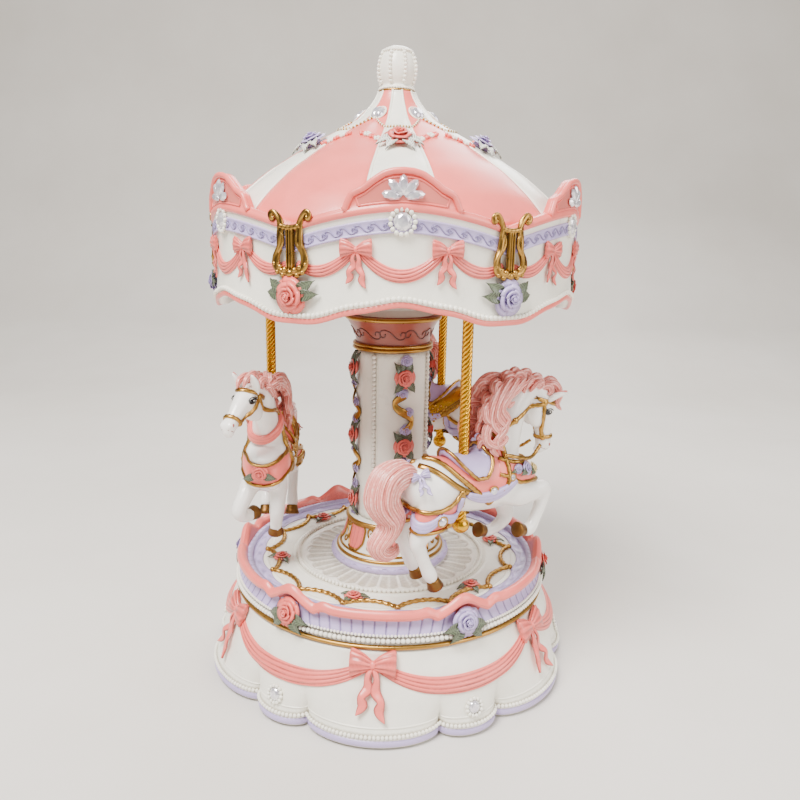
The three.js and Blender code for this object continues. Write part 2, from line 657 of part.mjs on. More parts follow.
function horse(pose) {
  const still = [TAIL, hindLeg(-1), hindLeg(1), RAISED_FORELEG, FOLDED_FORELEG];
  const moved = [NECK, MANE, HEAD].map((stations) => stations.map((station) => posed(station, pose)));
  const figure = join(limb(TORSO, 12), ...[...moved, ...still].map((stations) => limb(stations, 7)));
  const bore = turned([[POLE_R + RUN, BALL_Z + 2], [POLE_R + RUN, BALL_Z + 45]], 16);
  return cut(figure, bore);
}

const pole = () => turned([
  [SPIGOT_R, BALL_Z - 2.4], [SPIGOT_R, BALL_Z + POLE_FOOT], [POLE_R, BALL_Z + POLE_FOOT],
  [POLE_R, BALL_Z + FOLLOWER_RISE - GAP], [SPIGOT_R, BALL_Z + FOLLOWER_RISE - GAP],
  [SPIGOT_R, BALL_Z + FOLLOWER_RISE + 3],
], 16);

function ball() {
  const profile = [];
  for (let i = 0; i <= BALL_STEPS; i += 1) {
    const angle = BALL_FROM + (i / BALL_STEPS) * (BALL_TO - BALL_FROM);
    profile.push([BALL_R * Math.cos(angle), BALL_Z + BALL_R * Math.sin(angle)]);
  }
  const bore = SPIGOT_R + SNUG;
  profile.push([bore, profile[BALL_STEPS][1]], [bore, profile[0][1]]);
  return turnedRing(profile, 16);
}

// Arm on the pole head with a round nose that runs on the cam.
function follower() {
  const shape = new THREE.Shape();
  shape.absarc(0, 0, FOLLOWER_R, Math.PI, TURN, false);
  shape.absarc(0, FOLLOWER_REACH, NOSE_R, 0, Math.PI, false);
  holeIn(shape, 0, 0, SPIGOT_R + SNUG);
  const z = BALL_Z + FOLLOWER_RISE;
  return slab(shape, z, z + FOLLOWER_T, 6);
}

// ---------------------------------------------------------------- assembly
const COLOURS = {
  resin: 0xf3ece2, deck: 0xefe6dc, pedestal: 0xe9b7ac, column: 0xf2ebe0, capital: 0xb77f78, plate: 0x2b2b2d,
  rubber: 0x222222, steel: 0xb8bbc0, brass: 0xc9a24a, spring: 0x59606b, valance: 0xe9b0a6, roof: 0xeac3b8,
  white: 0xf6f1e8, gold: 0xb98e3e, horse: 0xf5efe6, nylon: 0xe8e4da,
};

const part = new THREE.Group();
part.name = 'carousel_music_box';

function add(name, geometry, colour, metal = 0, position = [0, 0, 0], turnDegrees = 0) {
  const material = new THREE.MeshStandardMaterial({
    color: COLOURS[colour], metalness: metal, roughness: metal > 0 ? 0.3 : 0.45, name: `${name}_material`,
  });
  const mesh = new THREE.Mesh(geometry, material);
  mesh.name = name;
  mesh.position.set(...position);
  mesh.rotation.z = rad(turnDegrees);
  part.add(mesh);
}

function addBase() {
  add('base_skirt', baseSkirt(), 'resin');
  add('bottom_plate', bottomPlate(), 'plate');
  PLATE_SCREW_AZIMUTH.forEach((azimuth, i) => {
    const screw = screwUp(2.2, PLATE_Z - GAP - SCREW_HEAD_T, 19);
    add(`bottom_screw_${i + 1}`, screw, 'steel', 1, around(azimuth, PLATE_SCREW_RING));
  });
  [0, 120, 240].forEach((azimuth, i) => {
    const pad = turned([[PAD_R, 0], [PAD_R, PAD_H - SNUG]], 24);
    add(`foot_pad_${i + 1}`, pad, 'rubber', 0, around(azimuth + BASE_TURN, PAD_RING_R));
  });
  add('deck', ring(deckProfile, BASE_SIDES), 'deck');
  add('pedestal', pedestal(), 'pedestal');
  add('column', column(), 'column');
  add('capital', capital(), 'capital');
  add('lower_bush', flangedBush(LOWER_BUSH_Z, LOWER_BUSH_TOP), 'brass', 1);
  add('upper_bush', tube(SHAFT_R + RUN, BUSH_R, UPPER_BUSH_Z, UPPER_BUSH_TOP), 'brass', 1);
  add('lift_cam', liftCam(), 'nylon');
}

function addMovement() {
  add('movement_bedplate', bedPlate(), 'steel', 1);
  BED_SCREWS.forEach(([x, y], i) => {
    const screw = screwUp(2, PLATE_Z - GAP - SCREW_HEAD_T, 16.8);
    add(`movement_screw_${i + 1}`, screw, 'steel', 1, [x, y, 0]);
  });
  add('cylinder_bracket', bearingFrame(CYLINDER_CHEEKS, -4, 4, 0, CYLINDER_SHAFT_R + RUN), 'steel', 1);
  const governorBore = [GOVERNOR_Y, GOVERNOR_SHAFT_R + RUN];
  add('governor_frame', bearingFrame(GOVERNOR_CHEEKS, GOVERNOR_Y - 3, GOVERNOR_Y + 3, ...governorBore), 'steel', 1);
  add('comb_base', combBase(), 'brass', 1);
  add('comb', comb(), 'steel', 1);
  COMB_SCREWS.forEach(([x, y], i) => add(`comb_screw_${i + 1}`, combScrew(), 'steel', 1, [x, y, 0]));
  add('winding_arbor', windingArbor(), 'steel', 1);
  add('winding_key', windingKey(), 'brass', 1);
  add('spring_barrel', springBarrel(), 'brass', 1);
  add('mainspring', mainspring(), 'spring', 1);
  add('pin_cylinder', pinCylinder(), 'brass', 1);
  add('cylinder_wheel', cylinderWheel(), 'brass', 1);
  add('governor_pinion', governorPinion(), 'steel', 1);
  add('governor_fan', governorFan(), 'nylon');
}

function addCanopy() {
  add('drive_shaft', driveShaft(), 'steel', 1);
  add('canopy_hub', canopyHub(), 'brass', 1);
  add('canopy_plate', canopyPlate(), 'valance');
  add('canopy_valance', ring(valanceProfile, CANOPY_SIDES), 'valance');
  add('canopy_roof', canopyRoof(), 'roof');
  add('finial', finial(), 'white');
  for (let i = 0; i < 6; i += 1) {
    const azimuth = CANOPY_TURN + 30 + 60 * i;
    add(`lyre_${i + 1}`, lyre(), 'gold', 1, around(azimuth, LYRE_R, LYRE_Z), azimuth);
  }
}

function addHorses() {
  HORSE_AZIMUTH.forEach((azimuth, i) => {
    const place = around(azimuth, POLE_CIRCLE_R, HORSE_LIFT[i]);
    add(`horse_${i + 1}`, horse(HEAD_POSES[i]), 'horse', 0, place, azimuth);
    add(`pole_${i + 1}`, pole(), 'brass', 1, place, azimuth);
    add(`ball_${i + 1}`, ball(), 'brass', 1, place, azimuth);
    add(`follower_${i + 1}`, follower(), 'nylon', 0, place, azimuth);
  });
}

addBase();
addMovement();
addCanopy();
addHorses();

export default part;
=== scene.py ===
"""Looks of the carousel music box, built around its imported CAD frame. Working units are millimetres."""

import math

import bpy
import numpy as np
from mathutils import Matrix, Vector
from mathutils.bvhtree import BVHTree


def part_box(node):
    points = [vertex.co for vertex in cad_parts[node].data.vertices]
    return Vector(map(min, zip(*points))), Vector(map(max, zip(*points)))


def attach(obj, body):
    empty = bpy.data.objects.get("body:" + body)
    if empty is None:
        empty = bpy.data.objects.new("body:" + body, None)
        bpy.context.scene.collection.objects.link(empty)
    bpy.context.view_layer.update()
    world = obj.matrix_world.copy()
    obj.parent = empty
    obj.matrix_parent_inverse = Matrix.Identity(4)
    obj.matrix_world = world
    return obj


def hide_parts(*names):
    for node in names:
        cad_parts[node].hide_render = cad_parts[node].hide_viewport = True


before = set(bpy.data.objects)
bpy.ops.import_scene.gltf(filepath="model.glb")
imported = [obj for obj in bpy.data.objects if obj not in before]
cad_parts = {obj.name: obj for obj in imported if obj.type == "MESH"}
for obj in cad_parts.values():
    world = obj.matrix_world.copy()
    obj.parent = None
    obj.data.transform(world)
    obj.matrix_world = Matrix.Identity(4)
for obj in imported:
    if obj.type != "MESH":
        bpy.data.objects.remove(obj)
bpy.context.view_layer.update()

MM = 0.001
TAU = 2 * math.pi
TINY = 1e-9


# ---------------------------------------------------------------- frame sizes
def top_of(node):
    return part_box(node)[1].z / MM


def foot_of(node):
    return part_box(node)[0].z / MM


BASE_TURN = -4.5                     # azimuth of the first large lobe of the base, degrees
CANOPY_TURN = 2.0                    # azimuth of the middle of the first canopy face, degrees
HORSE_AZIMUTH = (32, -88, 152)
POLE_CIRCLE = 57.5                   # radius of the circle that the poles stand on
DECK = foot_of("pedestal") - 0.3     # height of the white deck


# ---------------------------------------------------------------- vectors
def outward(az):
    """Unit vector away from the axis; azimuth 0 faces the viewer (-Y), 90 is +X, in degrees."""
    a = math.radians(az)
    return np.array([math.sin(a), -math.cos(a), 0.0])


def sideways(az):
    """Unit vector round the axis, towards a growing azimuth."""
    a = math.radians(az)
    return np.array([math.cos(a), math.sin(a), 0.0])


def around(az, r, z):
    return outward(az) * r + np.array([0, 0, z])


UP = np.array([0.0, 0.0, 1.0])


def unit(v):
    return v / max(np.linalg.norm(v), TINY)


def basis(x, y, z, origin):
    """4x4 with the given axes as columns."""
    m = np.eye(4)
    m[:3, 0], m[:3, 1], m[:3, 2], m[:3, 3] = x, y, z, origin
    return m


def standing(az, r, z, size=1.0, tilt=0.0):
    """Local +Z points outward at azimuth az (tilt raises it), local +Y points up."""
    out = outward(az)
    t = math.radians(tilt)
    normal = out * math.cos(t) + UP * math.sin(t)
    up = UP * math.cos(t) - out * math.sin(t)
    return basis(sideways(az) * size, up * size, normal * size, around(az, r, z))


def rolled(x, y, roll):
    """Two axes turned together about their common normal."""
    q = math.radians(roll)
    return x * math.cos(q) + y * math.sin(q), y * math.cos(q) - x * math.sin(q)


def facing(p, normal, size=1.0, roll=0.0):
    """Local +Z is the normal of a surface at p, local +Y points up along the surface."""
    up = unit(UP - normal * np.dot(UP, normal))
    x, y = rolled(np.cross(up, normal), up, roll)
    return basis(x * size, y * size, normal * size, p)


def turns(count):
    """Equal angles round a full turn."""
    return np.arange(count) * TAU / count


def sixths(az):
    """Six equal azimuths, the first at az."""
    return [az + 60 * k for k in range(6)]


# ---------------------------------------------------------------- mesh building
# The back face of a thick patch gets a lower crown, so painted shade darkens it.
UNDERSIDE_CROWN = 0.4
SMOOTH_SECTION = 1e-3


class Build:
    """Collects closed shells, each with a crown value per point: 1 on what stands proud, 0 in recesses."""

    def __init__(self):
        self.points, self.faces, self.crowns, self.count = [], [], [], 0

    def add(self, points, faces, crown=1.0, matrix=None):
        points = np.asarray(points, float)
        if matrix is not None:
            points = points @ matrix[:3, :3].T + matrix[:3, 3]
        self.faces.extend([tuple(i + self.count for i in f) for f in faces])
        self.points.append(points)
        self.crowns.append(np.broadcast_to(np.asarray(crown, float), (len(points),)))
        self.count += len(points)
        return self

    def merge(self, other, matrix=None):
        points, faces, crown = other.arrays()
        return self.add(points, faces, crown, matrix)

    def arrays(self):
        return np.concatenate(self.points), self.faces, np.concatenate(self.crowns)

    def piece(self, name, body, material, slot="painted_resin", smooth=True):
        points, faces, crown = self.arrays()
        mesh = bpy.data.meshes.new(name)
        mesh.from_pydata((points * MM).tolist(), [], faces)
        attribute = mesh.attributes.new("crown", "FLOAT", "POINT")
        attribute.data.foreach_set("value", crown.astype(np.float32))
        mesh.polygons.foreach_set("use_smooth", [smooth] * len(mesh.polygons))
        mesh.materials.append(material)
        obj = bpy.data.objects.new(name, mesh)
        bpy.context.scene.collection.objects.link(obj)
        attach(obj, body)
        return obj


def grid_faces(rows, cols, wrap_rows=False, wrap_cols=False):
    faces = []
    for i in range(rows if wrap_rows else rows - 1):
        a, b = i * cols, ((i + 1) % rows) * cols
        for j in range(cols if wrap_cols else cols - 1):
            k = (j + 1) % cols
            faces.append((a + j, b + j, b + k, a + k))
    return faces


def shell(grid, thickness, crown):
    """Closed thick patch from a rows x cols x 3 grid; thickness is a vector field or one vector."""
    rows, cols, _ = grid.shape
    points = np.concatenate([grid.reshape(-1, 3), (grid + thickness).reshape(-1, 3)])
    n = rows * cols
    faces = grid_faces(rows, cols)
    faces += [tuple(n + i for i in reversed(f)) for f in faces]
    rim = list(range(cols)) + [i * cols + cols - 1 for i in range(1, rows)]
    rim += [(rows - 1) * cols + j for j in range(cols - 2, -1, -1)]
    rim += [i * cols for i in range(rows - 2, 0, -1)]
    for a, b in zip(rim, rim[1:] + rim[:1]):
        faces.append((a, b, b + n, a + n))
    crown = np.asarray(crown, float).reshape(-1)
    return points, faces, np.concatenate([crown, crown * UNDERSIDE_CROWN])


def row_units(vectors):
    """Each row scaled to length 1."""
    return vectors / np.maximum(np.linalg.norm(vectors, axis=-1, keepdims=True), TINY)


def frames_along(path, hint):
    """Side and up of each point of a path, carried along without twist."""
    up = np.asarray(hint, float)
    sides, ups = [], []
    for t in row_units(np.gradient(path, axis=0)):
        up = unit(up - t * np.dot(up, t))
        ups.append(up)
        sides.append(np.cross(t, up))
    return np.array(sides), np.array(ups)


def tube(path, side, up, across, above, closed=False):
    """Closed tube; across and above are each point's offsets along side and up, rows x sides."""
    rows, sides = above.shape
    points = path[:, None, :] + across[..., None] * side[:, None, :] + above[..., None] * up[:, None, :]
    faces = grid_faces(rows, sides, wrap_rows=closed, wrap_cols=True)
    if not closed:
        faces += [tuple(range(sides)), tuple(range((rows - 1) * sides, rows * sides))[::-1]]
    return points.reshape(-1, 3), faces


def column_of(value, n):
    """One number or n numbers, as a column of n rows."""
    return np.broadcast_to(np.asarray(value, float), (n,))[:, None]


def sweep(path, wide, high=None, sides=10, hint=UP, section=None, closed=False, crown=None):
    """Tube along a path; half sizes are numbers or arrays; section(angle, share) scales the radius."""
    path = np.asarray(path, float)
    n = len(path)
    wide, high = column_of(wide, n), column_of(wide if high is None else high, n)
    if closed:
        side, up = (a[1:-1] for a in frames_along(np.vstack([path[-1], path, path[0]]), hint))
    else:
        side, up = frames_along(path, hint)
    angles = turns(sides)
    scale = np.ones(1) if section is None else section(angles[None, :], np.linspace(0, 1, n)[:, None])
    scale = np.broadcast_to(scale, (n, sides))
    points, faces = tube(path, side, up, wide * np.cos(angles) * scale, high * np.sin(angles) * scale, closed)
    spread = np.ptp(scale)
    if crown is None:
        crown = (scale - scale.min()) / spread if spread > SMOOTH_SECTION else scale
    return points, faces, np.broadcast_to(crown, (n, sides)).reshape(-1)


def ball_points(rings=6, sides=10):
    """Closed ball of radius 1."""
    rows = []
    for i in range(1, rings):
        a = math.pi * i / rings
        rows.append([[math.sin(a) * math.cos(b), math.sin(a) * math.sin(b), math.cos(a)]
                     for b in turns(sides)])
    points = np.array(rows).reshape(-1, 3)
    faces = grid_faces(rings - 1, sides, wrap_cols=True)
    top, bottom = len(points), len(points) + 1
    last = (rings - 2) * sides
    for j in range(sides):
        k = (j + 1) % sides
        faces += [(top, j, k), (bottom, last + k, last + j)]
    return np.vstack([points, [0, 0, 1], [0, 0, -1]]), faces


BEAD = ball_points(6, 9)


def beads(build, centres, radius):
    points, faces = BEAD
    for c in centres:
        build.add(points * radius + np.asarray(c), faces, 1.0)
    return build


def spaced(curve, pitch, samples=2000):
    """Points at equal spacing on a closed curve(share)."""
    share = np.linspace(0, 1, samples + 1)
    line = np.array([curve(s) for s in share])
    run = np.concatenate([[0], np.cumsum(np.linalg.norm(np.diff(line, axis=0), axis=1))])
    count = max(3, round(run[-1] / pitch))
    where = np.interp(np.arange(count) * run[-1] / count, run, share)
    return [curve(s) for s in where]


def lathe(profile, sides=180, crown=None):
    """Closed ring about Z from a closed loop of [r, z], or from a function that gives one per azimuth."""
    loop = profile if callable(profile) else lambda az: profile
    cols = len(loop(0.0))
    points = np.zeros((sides, cols, 3))
    azimuths = [360.0 * i / sides for i in range(sides)]
    for i, az in enumerate(azimuths):
        p = np.asarray(loop(az), float)
        points[i] = p[:, :1] * outward(az) + p[:, 1:] * UP
    level = np.ones((sides, cols)) if crown is None else np.array([crown(az) for az in azimuths])
    return points.reshape(-1, 3), grid_faces(sides, cols, True, True), level.reshape(-1)


def curve_through(points, steps):
    """Smooth line (Catmull-Rom) through points of any dimension, with steps points to each span."""
    p = np.asarray(points, float)
    p = np.vstack([2 * p[0] - p[1], p, 2 * p[-1] - p[-2]])
    out = []
    for i in range(1, len(p) - 2):
        for k in range(steps):
            t = k / steps
            a, b, c, d = p[i - 1], p[i], p[i + 1], p[i + 2]
            out.append(0.5 * ((2 * b) + (c - a) * t + (2 * a - 5 * b + 4 * c - d) * t * t
                              + (3 * b - a - 3 * c + d) * t ** 3))
    out.append(p[-2])
    return np.array(out)


# ---------------------------------------------------------------- materials
class Nodes:
    """Small helper that wires a material's node tree."""

    def __init__(self, name):
        self.material = bpy.data.materials.new(name)
        self.material.use_nodes = True
        self.tree = self.material.node_tree
        self.shader = self.tree.nodes["Principled BSDF"]

    def node(self, kind, **values):
        made = self.tree.nodes.new(kind)
        for key, value in values.items():
            if key in made.inputs.keys():
                made.inputs[key].default_value = value
            else:
                setattr(made, key, value)
        return made

    def link(self, source, target):
        self.tree.links.new(source, target)

    def noise(self, scale, detail=4.0, roughness=0.6):
        where = self.node("ShaderNodeTexCoord")
        made = self.node("ShaderNodeTexNoise", Scale=scale, Detail=detail, Roughness=roughness)
        self.link(where.outputs["Object"], made.inputs["Vector"])
        return made.outputs["Fac"]

    def ramp(self, source, low, high, a=0.0, b=1.0):
        made = self.node("ShaderNodeMapRange")
        made.inputs["From Min"].default_value = low
        made.inputs["From Max"].default_value = high
        made.inputs["To Min"].default_value = a
        made.inputs["To Max"].default_value = b
        self.link(source, made.inputs["Value"])
        return made.outputs["Result"]

    def math(self, operation, a, b):
        made = self.node("ShaderNodeMath", operation=operation)
        for socket, value in ((made.inputs[0], a), (made.inputs[1], b)):
            if isinstance(value, (int, float)):
                socket.default_value = value
            else:
                self.link(value, socket)
        return made.outputs[0]

    def mix(self, fac, a, b):
        made = self.node("ShaderNodeMix", data_type="RGBA")
        self.link(fac, made.inputs["Factor"])
        for socket, value in ((made.inputs["A"], a), (made.inputs["B"], b)):
            if isinstance(value, tuple):
                socket.default_value = value
            else:
                self.link(value, socket)
        return made.outputs["Result"]

    def bump(self, height, strength, distance):
        made = self.node("ShaderNodeBump", Strength=strength, Distance=distance)
        self.link(height, made.inputs["Height"])
        self.link(made.outputs["Normal"], self.shader.inputs["Normal"])


def linear(r, g, b):
    """Linear colour from 0-255 display values."""
    def one(v):
        v /= 255
        return v / 12.92 if v <= 0.04045 else ((v + 0.055) / 1.055) ** 2.4
    return (one(r), one(g), one(b), 1.0)


def shade(colour, k):
    return tuple(min(1.0, c * k) for c in colour[:3]) + (1.0,)


def paint(name, colour, patina_and_shade, rough=0.34, coat=0.25, highlight_colour=None, depth=0.9):
    """Hand-painted resin. Patina and painted shade darken the recesses, the coat is uneven, brush marks raise
    the surface; a light colour, if given, is a painted highlight on the crowns.
    """
    m = Nodes(name)
    s = m.shader
    crown = m.node("ShaderNodeAttribute", attribute_name="crown").outputs["Fac"]
    soft = m.noise(90.0, 5.0)
    fine = m.noise(900.0, 4.0)
    base = m.mix(m.ramp(soft, 0.3, 0.7), shade(colour, 0.94), shade(colour, 1.04))
    # Patina and painted shade: the recess colour covers the low crowns.
    hidden = m.ramp(m.math("ADD", crown, m.ramp(fine, 0.3, 0.7, -0.12, 0.12)), 0.0, 0.75, depth, 0.0)
    tone = m.mix(hidden, base, patina_and_shade)
    # Painted highlight: the crowns of the strands turn towards the light colour, as where light catches them.
    if highlight_colour is not None:
        painted_highlight = m.ramp(m.math("MULTIPLY", crown, m.ramp(fine, 0.25, 0.6, 0.4, 1.0)), 0.55, 0.95)
        tone = m.mix(m.math("MULTIPLY", painted_highlight, 0.8), tone, highlight_colour)
    m.link(tone, s.inputs["Base Color"])
    m.link(m.ramp(soft, 0.25, 0.75, rough - 0.06, rough + 0.1), s.inputs["Roughness"])
    s.inputs["Coat Weight"].default_value = coat
    s.inputs["Coat Roughness"].default_value = 0.18
    m.bump(m.math("ADD", m.math("MULTIPLY", soft, 0.6), m.math("MULTIPLY", fine, 0.4)), 0.25, 0.00018)
    return m.material


def metal(name, colour, dark, rough):
    """Gilding or plating: painted shade darkens it in the recesses, and its polish is uneven."""
    m = Nodes(name)
    s = m.shader
    fine = m.noise(400.0, 5.0)
    soft = m.noise(60.0, 3.0)
    crown = m.node("ShaderNodeAttribute", attribute_name="crown").outputs["Fac"]
    hidden = m.ramp(m.math("ADD", crown, m.ramp(soft, 0.3, 0.7, -0.15, 0.15)), 0.0, 0.6, 0.85, 0.0)
    m.link(m.mix(hidden, colour, dark), s.inputs["Base Color"])
    m.link(m.ramp(fine, 0.3, 0.7, rough - 0.06, rough + 0.12), s.inputs["Roughness"])
    s.inputs["Metallic"].default_value = 1.0
    m.bump(fine, 0.12, 0.0001)
    return m.material


def plain(name, colour, rough, metallic=0.0, bump=0.0001):
    """For CAD nodes that stay: tone and polish vary with a fine grain."""
    m = Nodes(name)
    s = m.shader
    fine = m.noise(700.0, 5.0)
    soft = m.noise(70.0, 4.0)
    m.link(m.mix(m.ramp(soft, 0.3, 0.7), shade(colour, 0.94), shade(colour, 1.06)), s.inputs["Base Color"])
    m.link(m.ramp(fine, 0.3, 0.7, max(0.05, rough - 0.08), rough + 0.1), s.inputs["Roughness"])
    s.inputs["Metallic"].default_value = metallic
    m.bump(fine, 0.2, bump)
    return m.material


def gemstone():
    m = Nodes("rhinestone")
    s = m.shader
    soft = m.noise(350.0, 2.0)
    m.link(m.mix(m.ramp(soft, 0.35, 0.65), linear(196, 190, 204), linear(250, 248, 252)),
           s.inputs["Base Color"])
    m.link(m.ramp(soft, 0.3, 0.7, 0.02, 0.07), s.inputs["Roughness"])
    s.inputs["Metallic"].default_value = 0.55
    s.inputs["Coat Weight"].default_value = 1.0
    s.inputs["Coat Roughness"].default_value = 0.02
    return m.material


WHITE = paint("ivory_resin", linear(244, 241, 228), linear(140, 124, 100), rough=0.3)
PINK = paint("salmon_paint", linear(242, 115, 105), linear(146, 58, 50))
DEEP_PINK = paint("rose_paint", linear(214, 112, 102), linear(124, 56, 50))
LILAC = paint("lilac_paint", linear(186, 170, 216), linear(104, 90, 136))
YELLOW = paint("primrose_paint", linear(240, 216, 148), linear(170, 130, 70))
GILT = metal("antique_gilt", linear(178, 136, 68), linear(62, 42, 18), 0.3)
GOLD = metal("pole_gold", linear(214, 162, 40), linear(84, 52, 4), 0.2)
LEAF = paint("leaf_paint", linear(226, 226, 216), linear(48, 56, 46), rough=0.38, depth=0.95)
DARK_LEAF = paint("dark_leaf_paint", linear(98, 108, 84), linear(16, 22, 14), rough=0.36, depth=1.0)
DEEP_LILAC = paint("engraved_lilac", linear(136, 124, 166), linear(90, 78, 122))
# Deep pink of the capital, darkened further with painted shade for the canopy's shadow.
CAPITAL_PINK_WITH_SHADE = paint("capital_paint_with_shade", linear(150, 72, 56), linear(84, 34, 26))
BROWN = paint("scroll_brown", linear(96, 42, 34), linear(60, 24, 20))
BLACK = plain("moulded_black", linear(34, 34, 37), 0.55)
RUBBER = plain("foot_rubber", linear(28, 28, 28), 0.85, bump=0.0003)
STEEL = plain("plated_steel", linear(196, 198, 202), 0.24, 1.0)
BLUED = plain("spring_steel", linear(92, 102, 122), 0.3, 1.0)
BRASS = plain("turned_brass", linear(214, 172, 88), 0.26, 1.0)
NYLON = plain("white_nylon", linear(226, 222, 210), 0.5)
GEM = gemstone()
HORSE_WHITE = paint("horse_enamel", linear(246, 243, 238), linear(190, 176, 158), rough=0.2, coat=0.6,
                    depth=0.6)
HAIR = paint("hair_paint", linear(242, 152, 140), linear(166, 78, 70), highlight_colour=linear(255, 226, 216),
             rough=0.28, coat=0.4)
HOOF = metal("hoof_bronze", linear(118, 84, 46), linear(40, 27, 13), 0.4)
EYE_BLACK = plain("eye_black", linear(14, 12, 14), 0.15)
SADDLE_GOLD = metal("saddle_gilding", linear(214, 170, 70), linear(120, 80, 20), 0.28)
FLOWER_PAINT = {"lilac": LILAC, "pink": PINK, "yellow": YELLOW}


# ---------------------------------------------------------------- small ornaments
def petal(radius, height, spread, lean, lip, cols=7, rows=5, thick=0.07):
    """One cupped rose petal standing round +Z, from the axis foot outward; painted shade darkens it towards
    its foot.
    """
    grid = np.zeros((rows, cols, 3))
    crown = np.zeros((rows, cols))
    for i in range(rows):
        v = i / (rows - 1)
        width = spread * math.sin(math.pi * (0.22 + 0.5 * v)) ** 0.8
        rho = radius * (0.35 + 0.65 * v ** lean) + lip * max(0.0, v - 0.75) * 4 * 0.3
        z = height * math.sin(0.5 * math.pi * min(v * 1.08, 1.0)) - lip * max(0.0, v - 0.8) * 1.2
        for j in range(cols):
            u = 2 * j / (cols - 1) - 1
            a = u * width
            r = rho * (1 - 0.05 * u * u) + 0.05 * u
            grid[i, j] = [r * math.cos(a), r * math.sin(a), z * (1 - 0.12 * u * u * v)]
            crown[i, j] = 0.15 + 0.85 * v
    inward = -np.concatenate([grid[..., :2], np.zeros((rows, cols, 1))], axis=2)
    return shell(grid, row_units(inward) * thick - np.array([0, 0, 0.02]), crown)


def make_rose():
    """Open rose of radius 1 facing +Z."""
    rose = Build()
    rings = [(3, 0.26, 0.78, 1.5, 1.0, 0.0), (4, 0.48, 0.7, 1.05, 1.0, 0.2),
             (5, 0.74, 0.52, 0.86, 1.1, 0.35), (5, 1.0, 0.3, 0.82, 1.2, 0.4)]
    for k, (count, *shape) in enumerate(rings):
        for i in range(count):
            turn = TAU * (i + 0.37 * k) / count
            c, s = math.cos(turn), math.sin(turn)
            rose.add(*petal(*shape), matrix=basis([c, s, 0], [-s, c, 0], [0, 0, 1], [0, 0, 0]))
    t = np.linspace(0, 1, 26)
    coil = 0.2 * (1 - t)
    spiral = np.stack([coil * np.cos(TAU * 2 * t), coil * np.sin(TAU * 2 * t), 0.55 + 0.25 * t], 1)
    rose.add(*sweep(spiral, 0.07, sides=6, crown=0.8))
    rose.add(*rose_heart())
    return rose


def make_leaf(rows=15, cols=9):
    """Serrated leaf of length 1 along +X, folded on its rib, veins raised and pale over a dark blade."""
    grid = np.zeros((rows, cols, 3))
    crown = np.zeros((rows, cols))
    for i in range(rows):
        v = i / (rows - 1)
        wide = 0.3 * math.sin(math.pi * (0.04 + 0.94 * v)) ** 0.75 * (1.08 - 0.35 * v)
        wide *= 1 + 0.12 * (i % 2)
        for j in range(cols):
            u = 2 * j / (cols - 1) - 1
            z = 0.12 + 0.1 * abs(u) - 0.16 * v * v + 0.1 * math.sin(math.pi * v)
            vein = i % 2 == 1 or abs(u) < 0.1
            grid[i, j] = [v - 0.16 * abs(u), u * wide, z + (0.03 if vein else 0)]
            crown[i, j] = 1.0 if vein else 0.12
    return Build().add(*shell(grid, np.array([0, 0, -0.09]), crown))


def make_gem(sides, squash=1.0):
    """Faceted stone of radius 1 facing +Z; squash narrows it along Y."""
    table_z = 0.38

    def loop(r, z, shift):
        angles = TAU * (np.arange(sides) + shift) / sides
        return [[r * math.cos(a), r * math.sin(a) * squash, z] for a in angles]
    rings = [loop(0.9, -0.12, 0), loop(1.0, 0.0, 0), loop(0.78, table_z * 0.62, 0.5), loop(0.55, table_z, 0)]
    points = np.array(rings).reshape(-1, 3)
    faces = []
    for i in range(3):
        a, b = i * sides, (i + 1) * sides
        for j in range(sides):
            k = (j + 1) % sides
            if i == 1:
                faces += [(a + j, a + k, b + j), (a + k, b + k, b + j)]
            elif i == 2:
                faces += [(a + j, a + k, b + k), (a + j, b + k, b + j)]
            else:
                faces.append((a + j, a + k, b + k, b + j))
    faces += [tuple(range(3 * sides, 4 * sides)), tuple(range(sides))[::-1]]
    return Build().add(points, faces)


def rose_heart(radius=0.62, height=0.34, sides=14, rings=4):
    """Closed low dome that fills the rose between its petals, darkened with painted shade."""
    def ring(r, z):
        return [[r * math.cos(b), r * math.sin(b), z] for b in turns(sides)]
    rows = [ring(radius, -0.1)]
    for a in np.arange(rings) * 0.5 * math.pi / rings:
        rows.append(ring(radius * math.cos(a), height * math.sin(a)))
    points = np.array(rows).reshape(-1, 3)
    n, last = len(points), rings * sides
    faces = [tuple(reversed(f)) for f in grid_faces(rings + 1, sides, wrap_cols=True)]
    faces += [(n, last + j, last + (j + 1) % sides) for j in range(sides)]
    faces.append(tuple(range(sides))[::-1])
    return np.vstack([points, [0, 0, height]]), faces, np.full(n + 1, 0.3)


def ribbon(path, width, thick, hint, sides=16):
    """Flat moulded ribbon with a lengthwise fold."""
    def section(angle, share):
        fold = 0.22 * np.cos(math.pi * np.cos(angle)) * np.abs(np.sin(angle))
        return 1 / (np.abs(np.cos(angle)) ** 4 + np.abs(np.sin(angle)) ** 4) ** 0.25 + fold
    return sweep(path, width, thick, sides=sides, hint=hint, section=section)


def bow_loop(side):
    """One puffed bow loop, narrow at the knot and gathered into folds."""
    line = curve_through([[0.03 * side, -0.02, 0.1], [0.24 * side, 0.03, 0.15], [0.5 * side, 0.08, 0.17],
                          [0.76 * side, 0.1, 0.15], [0.93 * side, 0.1, 0.12], [1.0 * side, 0.1, 0.1]], 5)
    t = np.linspace(0, 1, len(line))
    wide = np.interp(t, [0, 0.2, 0.45, 0.7, 0.86, 0.95, 1], [0.15, 0.27, 0.43, 0.54, 0.54, 0.47, 0.34])
    high = np.interp(t, [0, 0.2, 0.5, 0.8, 0.93, 1], [0.13, 0.18, 0.2, 0.17, 0.12, 0.04])
    return sweep(line, wide, high, sides=32, hint=[0, 0, 1],
                 section=lambda a, s: 1 + (0.2 - 0.13 * s) * np.cos(9 * a + 0.7 * side))


